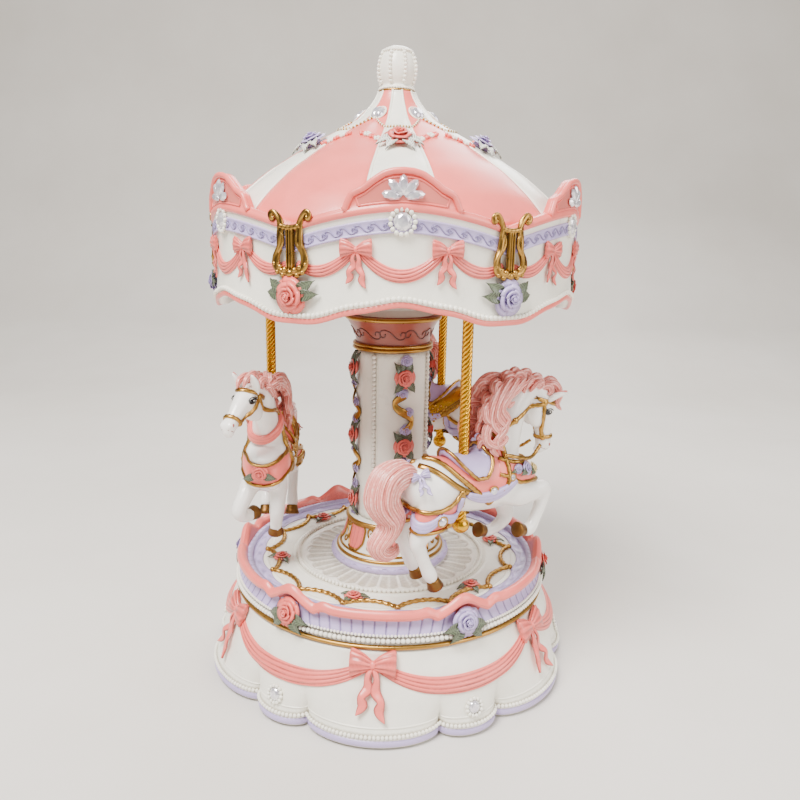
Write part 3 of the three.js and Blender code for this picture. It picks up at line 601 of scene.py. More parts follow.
def make_bow():
    """Bow one unit wide each way in XY, facing +Z: two puffed loops, a knot and two waving tails."""
    bow = Build()
    for side, far in ((-1, 1.0), (1, 1.12)):
        bow.add(*bow_loop(side))
        tail = curve_through([[0.04 * side, -0.06, 0.1], [0.2 * side, -0.5 * far, 0.17],
                              [0.16 * side, -0.94 * far, 0.07], [0.42 * side, -1.3 * far, 0.17],
                              [0.36 * side, -1.66 * far, 0.07], [0.62 * side, -2.04 * far, 0.12]], 6)
        t = np.linspace(0, 1, len(tail))
        wide = np.interp(t, [0, 0.3, 0.75, 0.92, 1], [0.1, 0.19, 0.21, 0.14, 0.03])
        wavy = wide * (1 + 0.16 * np.cos(5 * np.pi * t))
        bow.add(*ribbon(tail, wavy, 0.055, [0.25 * side, 0, 1], sides=14))
    points, faces = ball_points(8, 12)
    bow.add(points * [0.14, 0.2, 0.15] + [0, 0.02, 0.17], faces)
    return bow


ROSE, LEAF_SHAPE, BOW = make_rose(), make_leaf(), make_bow()
ROUND_GEM = make_gem(10)
MARQUISE = make_gem(8, 0.45)
OVAL_GEM = make_gem(10, 0.62)
LYRE_BALL = ball_points(8, 12)


def plant_rose(roses, leaves, at, size, leaf, angles, offset):
    """Rose of radius size, with leaves of length leaf that peep out from under it."""
    roses.merge(ROSE, scaled(at, size))
    for angle in angles:
        a = math.radians(angle)
        c, s = math.cos(a), math.sin(a)
        leaves.merge(LEAF_SHAPE, at @ basis([leaf * c, leaf * s, 0], [-leaf * s, leaf * c, 0], [0, 0, leaf],
                                            [offset * c, offset * s, -0.02]))


def ring_on(at, count, wide, high=None):
    """Points of an oval in the local XY plane of a placement."""
    high = wide if high is None else high
    return [at[:3, 3] + at[:3, 0] * wide * math.cos(a) + at[:3, 1] * high * math.sin(a) for a in turns(count)]


def two_colours():
    return {"pink": Build(), "lilac": Build()}


def pieces_by_colour(flowers, name, body):
    """One piece for the roses of each colour."""
    for colour, roses in flowers.items():
        roses.piece(f"{name}_{colour}", body, FLOWER_PAINT[colour])


def scaled(matrix, k):
    """The same placement, k times as large."""
    out = matrix.copy()
    out[:3, :3] *= k
    return out


# ---------------------------------------------------------------- camera, light, floor
FOCAL_PX = 740.0
PITCH = 12.909
ROLL = 0.9


def make_camera():
    data = bpy.data.cameras.new("view")
    data.sensor_width = 36.0
    data.lens = FOCAL_PX / 800 * 36.0
    data.shift_x = 8.1 / 800
    data.clip_start, data.clip_end = 0.01, 20
    camera = bpy.data.objects.new("view", data)
    tilt = Matrix.Rotation(math.radians(90 - PITCH), 4, "X") @ Matrix.Rotation(math.radians(ROLL), 4, "Z")
    camera.matrix_world = Matrix.Translation((0, -0.3478, 0.2052)) @ tilt
    bpy.context.scene.collection.objects.link(camera)
    bpy.context.scene.camera = camera


def make_light(name, place, size, power, colour):
    data = bpy.data.lights.new(name, "AREA")
    data.size = size
    data.energy = power
    data.color = colour
    lamp = bpy.data.objects.new(name, data)
    lamp.location = place
    aim = Vector((0, 0, 0.14)) - Vector(place)
    lamp.rotation_euler = aim.to_track_quat("-Z", "Y").to_euler()
    bpy.context.scene.collection.objects.link(lamp)


def make_stage():
    m = Nodes("pale_floor")
    soft = m.noise(6.0)
    m.link(m.mix(m.ramp(soft, 0.3, 0.7), linear(214, 208, 200), linear(222, 217, 210)),
           m.shader.inputs["Base Color"])
    m.shader.inputs["Roughness"].default_value = 0.7
    rows = []
    for y, z in ((-6.0, 0), (0.6, 0), (0.9, 0.05), (1.1, 0.25), (1.2, 0.6), (1.22, 1.6)):
        rows.append([[-4.5, y, z], [4.5, y, z]])
    line = np.array(rows)
    mesh = bpy.data.meshes.new("floor")
    mesh.from_pydata(line.reshape(-1, 3).tolist(), [], grid_faces(len(rows), 2))
    mesh.polygons.foreach_set("use_smooth", [True] * len(mesh.polygons))
    mesh.materials.append(m.material)
    floor = bpy.data.objects.new("floor", mesh)
    bpy.context.scene.collection.objects.link(floor)
    world = bpy.data.worlds.new("studio")
    world.use_nodes = True
    world.node_tree.nodes["Background"].inputs["Color"].default_value = (1.0, 0.985, 0.96, 1)
    world.node_tree.nodes["Background"].inputs["Strength"].default_value = 0.42
    bpy.context.scene.world = world
    make_light("key", (-0.35, -0.5, 1.0), 0.5, 30.0, (1.0, 0.98, 0.95))
    make_light("fill", (0.8, -0.5, 0.55), 0.7, 9.0, (1.0, 0.96, 0.92))
    make_light("rim", (0.2, 0.7, 0.8), 0.6, 8.0, (1.0, 1.0, 1.0))


make_camera()
make_stage()


# ---------------------------------------------------------------- base
def wrap(angle, period=60.0):
    """Angle brought to within half a period of 0."""
    return (angle + period / 2) % period - period / 2


HEM_NOTCH_R, HEM_R = 79.5, 88.3
LARGE_LOBE, SMALL_LOBE = 20.25, 9.75


def hem_radius(az):
    """Outline of the hem: six large lobes with a small one between each two."""
    large = wrap(az - BASE_TURN)
    if abs(large) < LARGE_LOBE:
        return HEM_NOTCH_R + 8.8 * (1 - (large / LARGE_LOBE) ** 2) ** 0.6
    small = min(1.0, abs(wrap(az - BASE_TURN - 30)) / SMALL_LOBE)
    return HEM_NOTCH_R + 6.9 * (1 - small ** 2) ** 0.6


def s_curve(length, place, centre, steps=64):
    """One S with coiled ends (a clothoid) of the given length, laid by place(along, up)."""
    t = np.linspace(-1.95, 1.95, steps)
    a = math.pi * t * t / 2
    x = np.concatenate([[0], np.cumsum(0.5 * (np.cos(a[1:]) + np.cos(a[:-1])) * np.diff(t))])
    y = np.concatenate([[0], np.cumsum(0.5 * (np.sin(a[1:]) + np.sin(a[:-1])) * np.diff(t))])
    x, y = x - x[-1] / 2, y - y[-1] / 2
    along, up = (x + y) * math.sqrt(0.5), (y - x) * math.sqrt(0.5)
    k = length / np.ptp(along)
    return np.array([place(centre + k * p, k * q) for p, q in zip(along, up)])


SKIRT_LINE = curve_through([[88.0, 1.2], [88.1, 4.6], [87.4, 6.5], [84.9, 12], [81.6, 20], [78.6, 27],
                            [75.6, 33.5], [75.0, 36.4]], 6)
SKIRT_SHARE = ([1.2, 4.6, 8, 12, 16, 20, 24], [1, 1, 0.86, 0.5, 0.24, 0.08, 0])


def skirt_radius(az, z):
    r = np.interp(z, SKIRT_LINE[:, 1], SKIRT_LINE[:, 0])
    return r + (hem_radius(az) - HEM_R) * np.interp(z, *SKIRT_SHARE)


def on_skirt(az, z, lift=0.0):
    return around(az, skirt_radius(az, z) + lift, z)


def skirt_normal(az, z):
    side = on_skirt(az + 0.5, z) - on_skirt(az - 0.5, z)
    rise = on_skirt(az, z + 0.5) - on_skirt(az, z - 0.5)
    return unit(np.cross(side, rise))


def skirt_matrix(az, z, size, lift=0.0):
    normal = skirt_normal(az, z)
    return facing(on_skirt(az, z) + normal * lift, normal, size)


def build_skirt():
    zs = np.concatenate([np.linspace(1.2, 8, 14), np.linspace(9.5, 36.4, 22)])

    def profile(az):
        outer = [[skirt_radius(az, z), z] for z in zs]
        inner = [[73.4, 36.6], [73.4, 43], [70, 43], [70, 15], [75, 15], [75, 1.2]]
        return outer + inner

    # Painted shade: the skirt darkens in a band round the hem beads, down the creases between its lobes near
    # the floor, and on its inside.
    def crown(az):
        crease = min(abs(wrap(az - BASE_TURN - LARGE_LOBE)), abs(wrap(az - BASE_TURN + LARGE_LOBE)))
        notch = math.exp(-(crease / 1.6) ** 2)
        row = [1 - 0.85 * math.exp(-((z - 6.0) / 1.3) ** 2) - 0.45 * notch * np.interp(z, [4, 18], [1, 0])
               for z in zs]
        return [max(0.0, level) for level in row] + [0.3] * 6
    skirt = Build().add(*lathe(profile, 480, crown))
    return skirt.piece("skirt_casting", "base", WHITE)


HEM_SWELL = np.sin(np.pi * np.linspace(0, 1, 6)) ** 0.4


def hem_ring(name, low, high, lift, material):
    """Raised band that follows the lobed hem between two heights."""
    edges = len(HEM_SWELL) - 1

    def profile(az):
        outer = [[skirt_radius(az, z) + (lift * swell if 0 < k < edges else -0.2), z]
                 for k, (z, swell) in enumerate(zip(np.linspace(low, high, edges + 1), HEM_SWELL))]
        return outer + [[skirt_radius(az, high) - 1.2, high], [skirt_radius(az, low) - 1.2, low]]
    Build().add(*lathe(profile, 480)).piece(name, "base", material)


def swag(build, start, end, sag, place, normal_at, thick=(0.9, 2.6), depth=1.3, steps=26, power=2.0):
    """Draped cloth between two points of a surface, with deep folds."""
    t = np.linspace(0, 1, steps)
    (a, low), (b, high) = start, end
    line = [(a + (b - a) * k, low + (high - low) * k - sag * (1 - abs(2 * k - 1) ** power)) for k in t]
    path = np.array([place(az, z) for az, z in line])
    normals = np.array([normal_at(az, z) for az, z in line])
    side = np.cross(row_units(np.gradient(path, axis=0)), normals)
    belly = np.sin(np.pi * t)
    wide = thick[0] + (thick[1] - thick[0]) * belly ** 0.8
    tall = depth * (0.55 + 0.45 * belly)
    angles = turns(48)
    drift = 0.5 * np.sin(math.pi * (t - 0.5))[:, None]
    wave = np.abs(np.cos(2.0 * math.pi * (np.cos(angles) + 0.3 * drift))) ** 0.8
    outer_half = np.sin(angles) > 0
    fold = np.where(outer_half, 0.5 + 0.5 * wave, 1.0)
    points, faces = tube(path, side, normals, wide[:, None] * np.cos(angles),
                         tall[:, None] * np.sin(angles) * fold)
    # Painted shade: the folds darken in their troughs, and the side against the wall is dark.
    build.add(points, faces, np.where(outer_half, wave, 0.0).reshape(-1))


BOW_Z = 31.4
GEM_Z = 12.4
HEM_BEADS_Z = 6.0


def build_base_ornaments():
    swags, bows, gems, settings = Build(), Build(), Build(), Build()
    for bow_az in sixths(BASE_TURN):
        bows.merge(BOW, skirt_matrix(bow_az, BOW_Z, 9.6, 0.5))
        swag(swags, (bow_az + 1.5, BOW_Z), (bow_az + 58.5, BOW_Z), 9.0, lambda a, z: on_skirt(a, z, 0.1),
             skirt_normal, thick=(1.9, 3.8), depth=1.8, steps=64, power=2.4)
        gem_at = skirt_matrix(bow_az + 30, GEM_Z, 1.0, 0.7)
        gems.merge(ROUND_GEM, scaled(gem_at, 2.7))
        beads(settings, ring_on(gem_at, 13, 3.5), 0.85)
    swags.piece("skirt_swags", "base", PINK)
    bows.piece("skirt_bows", "base", PINK)
    gems.piece("skirt_gems", "base", GEM, "gilt", smooth=False)
    beads(settings, spaced(lambda s: on_skirt(360 * s, HEM_BEADS_Z, 0.6), 1.72), 0.84)
    for r, z, pitch, size in ((75.3, 41.6, 2.05, 1.02), (74.6, 43.5, 1.5, 0.62)):
        beads(settings, bead_circle(r, z, pitch), size)
    settings.piece("skirt_beads", "base", WHITE)


def bead_circle(r, z, pitch):
    """Centres of a level row of beads about the axis."""
    return spaced(lambda s: around(360 * s, r, z), pitch)


def bead_loop(r, z, size, n=12, squash=1.0):
    """Round section of a hoop, for lathe."""
    return [[r + size * math.cos(a), z + squash * size * math.sin(a)] for a in turns(n)]


def build_base():
    skirt = build_skirt()
    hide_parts("base_skirt")
    hem_ring("hem_trim", 1.2, 4.6, 0.7, LILAC)
    hem_ring("hem_line", 8.6, 9.4, 0.35, WHITE)
    build_base_ornaments()
    hoop = Build().add(*lathe(bead_loop(74.6, 38.2, 1.1, 14, 0.9), 240))
    hoop.piece("gold_hoop", "base", GILT, "gilt")


# ---------------------------------------------------------------- deck
RIM_ROSES = [(az, "pink" if k % 2 else "lilac") for k, az in enumerate(sixths(BASE_TURN + 30))]


def rim_lift(az):
    """The rim ribbon arches up over each rose, with a small fold at both feet of the arch."""
    off = abs(wrap(az - BASE_TURN - 30))
    arch = 4.6 * (0.5 + 0.5 * math.cos(math.pi * min(1.0, off / 8.5)))
    return arch - 1.1 * math.exp(-((off - 9.5) / 1.6) ** 2) + 0.8 * math.exp(-((off - 13) / 2.2) ** 2)


ROPE_TURN = 3.5
ROPE_ARC = 22.5
ROPE_END = 22.4999
FIELD_RIM = 69.9


def rope_share(az):
    """-1 to 1 across each arc of the deck's rope."""
    return 2 * ((az - ROPE_TURN) % ROPE_ARC) / ROPE_ARC - 1


def rope_radius(az):
    """Gold rope of the deck: sixteen round arcs that belly towards the middle."""
    return 61.0 - 5.6 * max(0.0, 1 - rope_share(az) ** 2) ** 0.7


FLUTE_PITCH = 4.0
DECK_BEADS_R = 45.8
DECK_UNDERSIDE = 43.4
# Painted shade: the rim ribbon darkens in its folds and on its inner side down to the deck.
RIM_CROWN = [0.55, 0.7, 0.9, 1, 1, 0.8, 0.55, 0.9, 1, 1, 0.8, 0.7, 0.9, 1, 1, 1, 0.9, 0.8, 0.6, 0.5, 0.5,
             0.4, 0.4, 0.3, 0.3, 0.3]


def band_groove(az, share):
    """Thin cuts in the lilac band that run together downwards under the middle of each sixth."""
    off = wrap(az - BASE_TURN) / (1 - 0.1 * share)
    return math.exp(-(wrap(off, FLUTE_PITCH) / 0.4) ** 2)


def build_fluted_band():
    wall = curve_through([[74.6, 43.2], [73.9, 44.4], [72.9, 46.2], [72.2, 48.2], [72.0, 50.6]], 5)
    shares = np.linspace(1, 0, len(wall))

    def band(az):
        out = [[r - 0.45 * band_groove(az, s), z] for (r, z), s in zip(wall, shares)]
        return out + [[68, 50.6], [68, 43.3]]

    def band_crown(az):
        return [1 - band_groove(az, s) for s in shares] + [0.5, 0.5]
    Build().add(*lathe(band, 1260, band_crown)).piece("fluted_band", "base", LILAC)


def rim_section(az):
    up = rim_lift(az)
    lean = 0.5 * math.cos(math.radians(6 * (az - BASE_TURN))) + 0.25 * math.sin(math.radians(18 * az))
    line = curve_through([[72.2, 49.8 + up], [74.3, 49.9 + up], [75.3 + lean * 0.4, 51.3 + up],
                          [74.7 + lean, 53.2 + up], [73.4 + lean, 54.2 + up], [72.2, 53.6 + up],
                          [71.0, 52.4 + up * 0.7], [70.3, 50.4 + up * 0.3], [69.8, 47.6]], 3)
    return [list(p) for p in line] + [[71.6, 47.6]]


def build_deck():
    build_fluted_band()
    Build().add(*lathe(rim_section, 540, lambda az: RIM_CROWN)).piece("rim_ribbon", "base", PINK)
    beads(Build(), bead_circle(DECK_BEADS_R, DECK + 0.75, 2.05), 0.95).piece("deck_beads", "base", WHITE)
    build_deck_floor()
    build_deck_ornaments()


def deck_height(r, az):
    """Relief of the white deck: sunk arched panels round the pedestal and shallow rings."""
    z = 0.0
    panel = wrap(az, 15.0) / 7.5
    reach = 42.2 - 2.6 * panel * panel
    if 28.5 < r < reach:
        edge = min(1.0, (1 - abs(panel)) * r * 0.131 / 0.9, (reach - r) / 0.9)
        z -= 0.9 * max(0.0, edge)
        z += 0.35 * max(0.0, 1 - abs(panel) * 4)
    for ring_r, height in ((43.6, 0.5), (48.2, 0.4), (61.0, 0.35), (68.4, 0.4)):
        z += height * math.exp(-((r - ring_r) / 0.5) ** 2)
    return z


def build_deck_floor():
    radii = np.concatenate([np.linspace(6, 28, 6), np.linspace(28.6, 50, 62), np.linspace(51, 70, 46)])
    rings, sides = len(radii), 360
    grid = np.zeros((rings, sides, 3))
    crown = np.zeros((rings, sides))
    for i, r in enumerate(radii):
        # Painted shade: the sunk panels darken, and a painted shadow rings the deck under the bead row.
        shadow = 0.8 * math.exp(-((r - DECK_BEADS_R) / 1.3) ** 2)
        for j in range(sides):
            az = 360 * j / sides
            h = deck_height(r, az)
            grid[i, j] = around(az, r, DECK + h)
            crown[i, j] = max(0.0, 1.0 + min(0.0, h) * 0.85 - shadow)
    lower = grid.copy()
    lower[..., 2] = DECK_UNDERSIDE
    n = rings * sides
    faces = [tuple(reversed(f)) for f in grid_faces(rings, sides, wrap_cols=True)]
    faces += [tuple(n + i for i in reversed(f)) for f in faces]
    last = (rings - 1) * sides
    for j in range(sides):
        k = (j + 1) % sides
        faces += [(j, k, n + k, n + j), (last + k, last + j, n + last + j, n + last + k)]
    points = np.concatenate([grid.reshape(-1, 3), lower.reshape(-1, 3)])
    floor = Build().add(points, faces, np.tile(crown.reshape(-1), 2)).piece("deck_floor", "base", WHITE)
    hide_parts("deck")


def build_lilac_field():
    """Embossed lilac ground between the white shells and the rim."""
    shares = np.linspace(0, 1, 14)

    def level(az, s):
        leaf = math.sin(math.radians(az * 40) + 3.2 * math.sin(5 * s))
        leaf *= math.cos(9 * s + math.sin(math.radians(az * 8)))
        return 0.5 + 0.5 * leaf * math.sin(math.pi * min(1, 1.2 * s + 0.05))

    def profile(az):
        inner = 61.6 + 1.5 * (1 - rope_share(az) ** 2)
        top = [[inner + (FIELD_RIM - inner) * s, DECK + 0.35 + 0.45 * level(az, s)] for s in shares]
        return top[::-1] + [[inner, DECK - 0.2], [FIELD_RIM, DECK - 0.2]]

    def crown(az):
        return [0.3 + 0.7 * level(az, s) for s in shares][::-1] + [0.5, 0.5]
    Build().add(*lathe(profile, 1080, crown)).piece("deck_field", "base", LILAC)


def build_deck_ornaments():
    gold, flowers, leaves = Build(), two_colours(), Build()
    build_lilac_field()
    count = 90
    for k in range(16):
        start = ROPE_TURN + ROPE_ARC * k
        arc = [around(start + ROPE_ARC * s, rope_radius(start + ROPE_END * s), DECK + 0.7)
               for s in np.linspace(0, 1, count)]
        gold.add(*drape(arc, np.tile(UP, (count, 1)), 1.05, 0.95, twist=1.9, sides=12))
        beads(gold, [around(start, 61.0, DECK + 1.0)], 1.3)
    for az, colour in RIM_ROSES:
        at = standing(az, 74.4, 46.6, tilt=14)
        plant_rose(flowers[colour], leaves, at, 5.8, 7.6, (196, -16, 226, -46), 3.6)
    for az in sixths(43.4):
        at = basis(sideways(az), -outward(az), UP, around(az, 54, DECK + 0.5))
        plant_rose(flowers["pink"], leaves, at, 3.9, 5.0, (160, 20, 250), 2.4)
    gold.piece("deck_ropes", "base", GILT, "gilt")
    pieces_by_colour(flowers, "deck_roses", "base")
    leaves.piece("deck_leaves", "base", DARK_LEAF)


# ---------------------------------------------------------------- pedestal, column, capital
def pedestal_shield(az, line):
    """Bulging pink shield of the pedestal: its grid of points and their crowns."""
    rows, cols = 14, 17
    grid, crown = np.zeros((rows, cols, 3)), np.ones((rows, cols))
    for i, v in enumerate(np.linspace(0, 1, rows)):
        z = 55.8 + 11.0 * v
        half = 5.0 * min(1.0, 0.62 + 1.4 * v) * (1 if v < 0.86 else 1 - 1.2 * (v - 0.86))
        r = np.interp(z, line[:, 1], line[:, 0])
        for j, u in enumerate(np.linspace(-1, 1, cols)):
            ridge = math.cos(4 * math.pi * u)
            reach = r + 0.9 * (1 - 0.6 * u * u) + 0.12 * ridge
            grid[i, j] = around(az + math.degrees(half * u / r), reach, z)
            crown[i, j] = 0.75 + 0.25 * ridge
    return grid, crown


def gold_hoops(build, hoops, sides=120):
    """Round hoops, each a radius, a height and a thickness."""
    for r, z, size in hoops:
        build.add(*lathe(bead_loop(r, z, size), sides))


def build_pedestal():
    line = curve_through([[28.2, 48.4], [28.4, 49.6], [27.4, 51.2], [25.4, 52.0], [25.6, 53.2], [24.4, 54.6],
                          [22.8, 57], [21.6, 60.4], [20.6, 64], [20.2, 66.6]], 5)
    profile = [list(p) for p in line] + [[20.6, 69.6], [11, 69.6], [11, 48.4]]
    body = Build().add(*lathe(profile, 144)).piece("pedestal_casting", "base", WHITE)
    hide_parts("pedestal")
    shields, gold = Build(), Build()
    for k in range(8):
        az = -3 + 45 * k
        grid, crown = pedestal_shield(az, line)
        shields.add(*shell(grid, -outward(az) * 1.4, crown))
        edge = np.concatenate([grid[:, 0], grid[-1, 1:], grid[::-1, -1][1:], grid[0, ::-1][1:-1]])
        gold.add(*sweep(edge, 0.5, sides=8, hint=outward(az), closed=True))
        between = az + 22.5

        def place(a, u, between=between):
            z = 61.4 + a
            return around(between + math.degrees(u / 21.8), np.interp(z, line[:, 1], line[:, 0]) + 0.25, z)
        gold.add(*sweep(s_curve(9.6, place, 0.0), 0.5, 0.4, sides=8, hint=outward(between)))
    shields.piece("pedestal_shields", "base", PINK)
    gold_hoops(gold, ((25.8, 52.6, 0.8), (24.5, 54.6, 0.6), (20.9, 68.2, 1.1), (20.3, 66.8, 0.5)))
    gold.piece("pedestal_gold", "base", GILT, "gilt")
    lilac = Build().add(*lathe(bead_loop(27.3, 49.6, 1.9, 16), 144))
    wrap_r, count = 28.6, 24

    def on_ring(a, u):
        return around(math.degrees(a / wrap_r), 29.0 - 0.25 * abs(u), 49.9 + u)
    for k in range(count):
        lilac.add(*sweep(s_curve(7.0, on_ring, k * TAU * wrap_r / count), 0.34, sides=6))
    lilac.piece("pedestal_ring", "base", LILAC)


COLUMN_BOTTOM, COLUMN_TOP, COLUMN_R = 69.7, 150.9, 17.4


def build_column():
    zs = np.linspace(COLUMN_BOTTOM, COLUMN_TOP, 40)

    def profile(az):
        swell = 0.35 * math.cos(math.radians(4 * (az + 27)))
        return [[COLUMN_R + swell, z] for z in zs] + [[11, COLUMN_TOP], [11, COLUMN_BOTTOM]]

    # Painted shade: the tube darkens along each bead row and towards its foot and its head.
    def crown(az):
        level = 1 - 0.8 * math.exp(-(wrap(az + 27, 90.0) / 4.5) ** 2)
        return [level * np.interp(z, [COLUMN_BOTTOM, COLUMN_BOTTOM + 4, COLUMN_TOP - 5, COLUMN_TOP],
                                  [0.4, 1, 1, 0.3])
                for z in zs] + [0.3, 0.3]
    casting = Build().add(*lathe(profile, 360, crown)).piece("column_tube", "base", WHITE)
    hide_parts("column")
    rows = Build()
    for az in (-27, 63, 153, 243):
        zs_row = np.arange(COLUMN_BOTTOM + 1.4, COLUMN_TOP - 1, 2.05)
        beads(rows, [around(az, COLUMN_R + 0.95, z) for z in zs_row], 0.98)
        for side in (-1, 1):
            edge = np.array([around(az + side * 5.6, COLUMN_R + 0.25, z) for z in zs_row])
            rows.add(*sweep(edge, 0.24, 0.3, sides=8, hint=outward(az)))
    rows.piece("column_beads", "base", WHITE)
    build_vines()


VINE_PITCH = 32.4
VINES = ((18, 139.6), (108, 142.5), (198, 139.6), (288, 142.5))


def vine_ribbon(az, z, sense):
    """Gold ribbon that waves down from one rose to the next."""
    t = np.linspace(0, 1, 34)
    turn = 13.5 * np.sin(TAU * t) * sense
    wave = [around(az + q, COLUMN_R + 0.9 + 0.6 * math.cos(TAU * 2 * s), z - 7.8 - 17.2 * s)
            for q, s in zip(turn, t)]
    return ribbon(wave, 1.75 * (0.7 + 0.4 * np.abs(np.cos(TAU * t))), 0.5, outward(az))


def build_vines():
    """Four hanging garlands: a rose with leaves, a lilac flower each side of it, then a gold ribbon."""
    roses, buds, leaves, gold = Build(), Build(), Build(), Build()
    for az, first in VINES:
        for step in range(3):
            z = first - VINE_PITCH * step
            at = standing(az, COLUMN_R + 0.6, z, tilt=6)
            plant_rose(roses, leaves, at, 4.6, 6.2, (62, 122, -54, -126, 92), 2.6)
            for up, aside in ((7.8, 3), (-7.4, -3)):
                if z + up < COLUMN_TOP - 2:
                    buds.merge(ROSE, standing(az + aside, COLUMN_R + 0.4, z + up, 2.7))
            if z > COLUMN_BOTTOM + 20:
                gold.add(*vine_ribbon(az, z, 1 if step % 2 else -1))
                buds.merge(ROSE, standing(az + 7, COLUMN_R + 0.6, z - 16.3, 2.4))
    roses.piece("vine_roses", "base", PINK)
    buds.piece("vine_buds", "base", LILAC)
    leaves.piece("vine_leaves", "base", DARK_LEAF)
    gold.piece("vine_ribbons", "base", GILT, "gilt")


def build_capital():
    line = curve_through([[17.4, 154.2], [17.8, 157], [18.9, 160.4], [20.4, 163], [21.6, 165]], 6)
    profile = [[18, 151.2], [18, 154]] + [list(p) for p in line] + [[21.6, 167], [6, 167], [6, 151.2]]
    cone = Build().add(*lathe(profile, 144)).piece("capital_casting", "base", CAPITAL_PINK_WITH_SHADE)
    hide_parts("capital")
    gold = Build()
    gold_hoops(gold, ((18.2, 151.9, 0.85), (18.1, 153.6, 0.85), (21.7, 166.0, 1.05)))
    gold.piece("capital_hoops", "base", GILT, "gilt")
    wrap_r, count = 19.0, 10

    def place(a, u):
        z = 159.4 + u
        return around(math.degrees(a / wrap_r), np.interp(z, line[:, 1], line[:, 0]) + 0.1, z)
    scrolls = Build()
    for k in range(count):
        az = 360 * k / count
        scroll = s_curve(12.2, place, math.radians(az) * wrap_r)
        scrolls.add(*sweep(scroll, 0.34, 0.28, sides=8, hint=outward(az)))
    scrolls.piece("capital_scrolls", "base", BROWN)


# ---------------------------------------------------------------- canopy
WALL_HOLLOW = 0.9
BAND_DROP = 6.6


def face_share(az):
    """0 at the middle of a valance face, 1 at a corner."""
    return abs(wrap(az - CANOPY_TURN)) / 30


def valance_radius(az):
    return 80 + 1.2 * (1 - face_share(az))


def valance_foot(az):
    s = face_share(az)
    wave = 0.6 * math.cos(math.radians(wrap(az - CANOPY_TURN) * 24))
    return 178.5 - 7.5 * s * s * (3 - 2 * s) + wave * 0.5


def valance_head(az):
    return 205.8 + 7.8 * (1 - face_share(az) ** 1.6)


CREST_HIGH = 11.0
CREST_OFFSETS = [0, 2.4, 4.8, 7.6, 9.8, 11.4, 12.9, 13.9, 14.6]
CREST_SHARES = [1, 0.99, 0.93, 0.74, 0.56, 0.5, 0.44, 0.22, 0]


def crest_height(az):
    """Wide low pediment with a shoulder at each end."""
    return CREST_HIGH * np.interp(abs(wrap(az - CANOPY_TURN)), CREST_OFFSETS, CREST_SHARES)


def wall_section(az):
    low, high, r = valance_foot(az), valance_head(az), valance_radius(az)
    wall = [[r - WALL_HOLLOW * math.sin(math.pi * s), low + 1 + (high - low - 3) * s]
            for s in np.linspace(0, 1, 13)]
    back = [[77.6, high], [77.4, 205], [74.6, 205], [74.6, 203], [76, 202], [76, low]]
    return [[r - 0.6, low]] + wall + [[r, high]] + back


def moulding_section(az):
    z, r, c = valance_head(az), valance_radius(az), crest_height(az)
    outer = [(-0.6, -2.0), (0.7, -1.8), (1.3, -0.9), (1.1, 0.3), (0.5, 0.9)]
    crest = [(0.4, 1.0 + c * 0.5), (0.4, 1.2 + c), (-0.6, 1.6 + c), (-2.4, 1.5 + c), (-3.0, 0.8 + c * 0.8)]
    return [[r + out, z + up] for out, up in outer + crest + [(-3.2, -1), (-3.0, -2.4)]]


def edge_section(az):
    z, r = valance_foot(az), valance_radius(az)
    return [[r + 0.7 * math.cos(a) - 0.3, z + 0.3 + 1.15 * math.sin(a)] for a in turns(12)]


def build_crests():
    """Outline and sunk panel of each pediment."""
    crests, hollows = Build(), Build()
    for mid in sixths(CANOPY_TURN):
        top = [around(a, valance_radius(a) + 0.8, valance_head(a) + 0.9 + crest_height(a))
               for a in mid + np.linspace(-15, 15, 61)]
        crests.add(*sweep(top, 1.15, 1.0, sides=12, hint=outward(mid)))
        grid = np.array([[around(a, valance_radius(a) + 0.55,
                                 valance_head(a) + 1.4 + (crest_height(a) - 2.6) * s)
                          for a in mid + np.linspace(-11.6, 11.6, 45)] for s in np.linspace(0, 1, 8)])
        hollows.add(*shell(grid, -outward(mid) * 0.5, np.ones(grid.shape[:2])))
        edge = np.concatenate([grid[-1], grid[0, ::-1]])
        crests.add(*sweep(edge[::2], 0.38, sides=8, hint=outward(mid), closed=True))
    crests.piece("crest_outlines", "carousel", PINK)
    hollows.piece("crest_panels", "carousel", DEEP_PINK)


def build_valance():
    wall = Build().add(*lathe(wall_section, 360)).piece("valance_wall", "carousel", WHITE)
    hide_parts("canopy_valance")
    Build().add(*lathe(moulding_section, 720)).piece("valance_moulding", "carousel", PINK)
    build_crests()
    Build().add(*lathe(edge_section, 360)).piece("valance_edge", "carousel", PINK)

    def bead_place(s):
        az = 360 * s
        return around(az, valance_radius(az) + 0.35, valance_foot(az) + 2.5)
    beads(Build(), spaced(bead_place, 1.95), 0.98).piece("valance_beads", "carousel", WHITE)
    build_valance_ornaments()


def valance_place(az, z):
    """On the hollow white wall, a little proud of it."""
    low, high = valance_foot(az) + 1.5, valance_head(az) - 3
    share = min(1.0, max(0.0, (z - low) / (high - low)))
    return around(az, valance_radius(az) - WALL_HOLLOW * math.sin(math.pi * share) + 0.1, z)


def build_scroll_band():
    """Lilac band below the moulding with running scrolls cut into it."""
    half = [(-0.6, 2.6), (0.25, 2.6), (0.6, 2.3), (0.5, 1.9), (0.3, 1.6)]
    half_crown = [0.6, 0.8, 1, 0.9, 0.75]

    def loop(az):
        z, r = valance_head(az) - BAND_DROP, valance_radius(az)
        return [[r + out, z - up] for out, up in half] + [[r + out, z + up] for out, up in half[::-1]]
    band = Build().add(*lathe(loop, 360, lambda az: half_crown + half_crown[::-1]))
    band.piece("scroll_band", "carousel", LILAC)
    lines, count = Build(), 90
    for k in range(count):
        centre = CANOPY_TURN + 360 * (k + 0.5) / count

        def place(a, u, centre=centre):
            az = centre + math.degrees(a / 80.6)
            return around(az, valance_radius(az) + 0.42, valance_head(az) - BAND_DROP + 1.15 * u)
        lines.add(*sweep(s_curve(6.3, place, 0.0, 44), 0.3, sides=6, hint=outward(centre)))
    lines.piece("scroll_lines", "carousel", DEEP_LILAC)


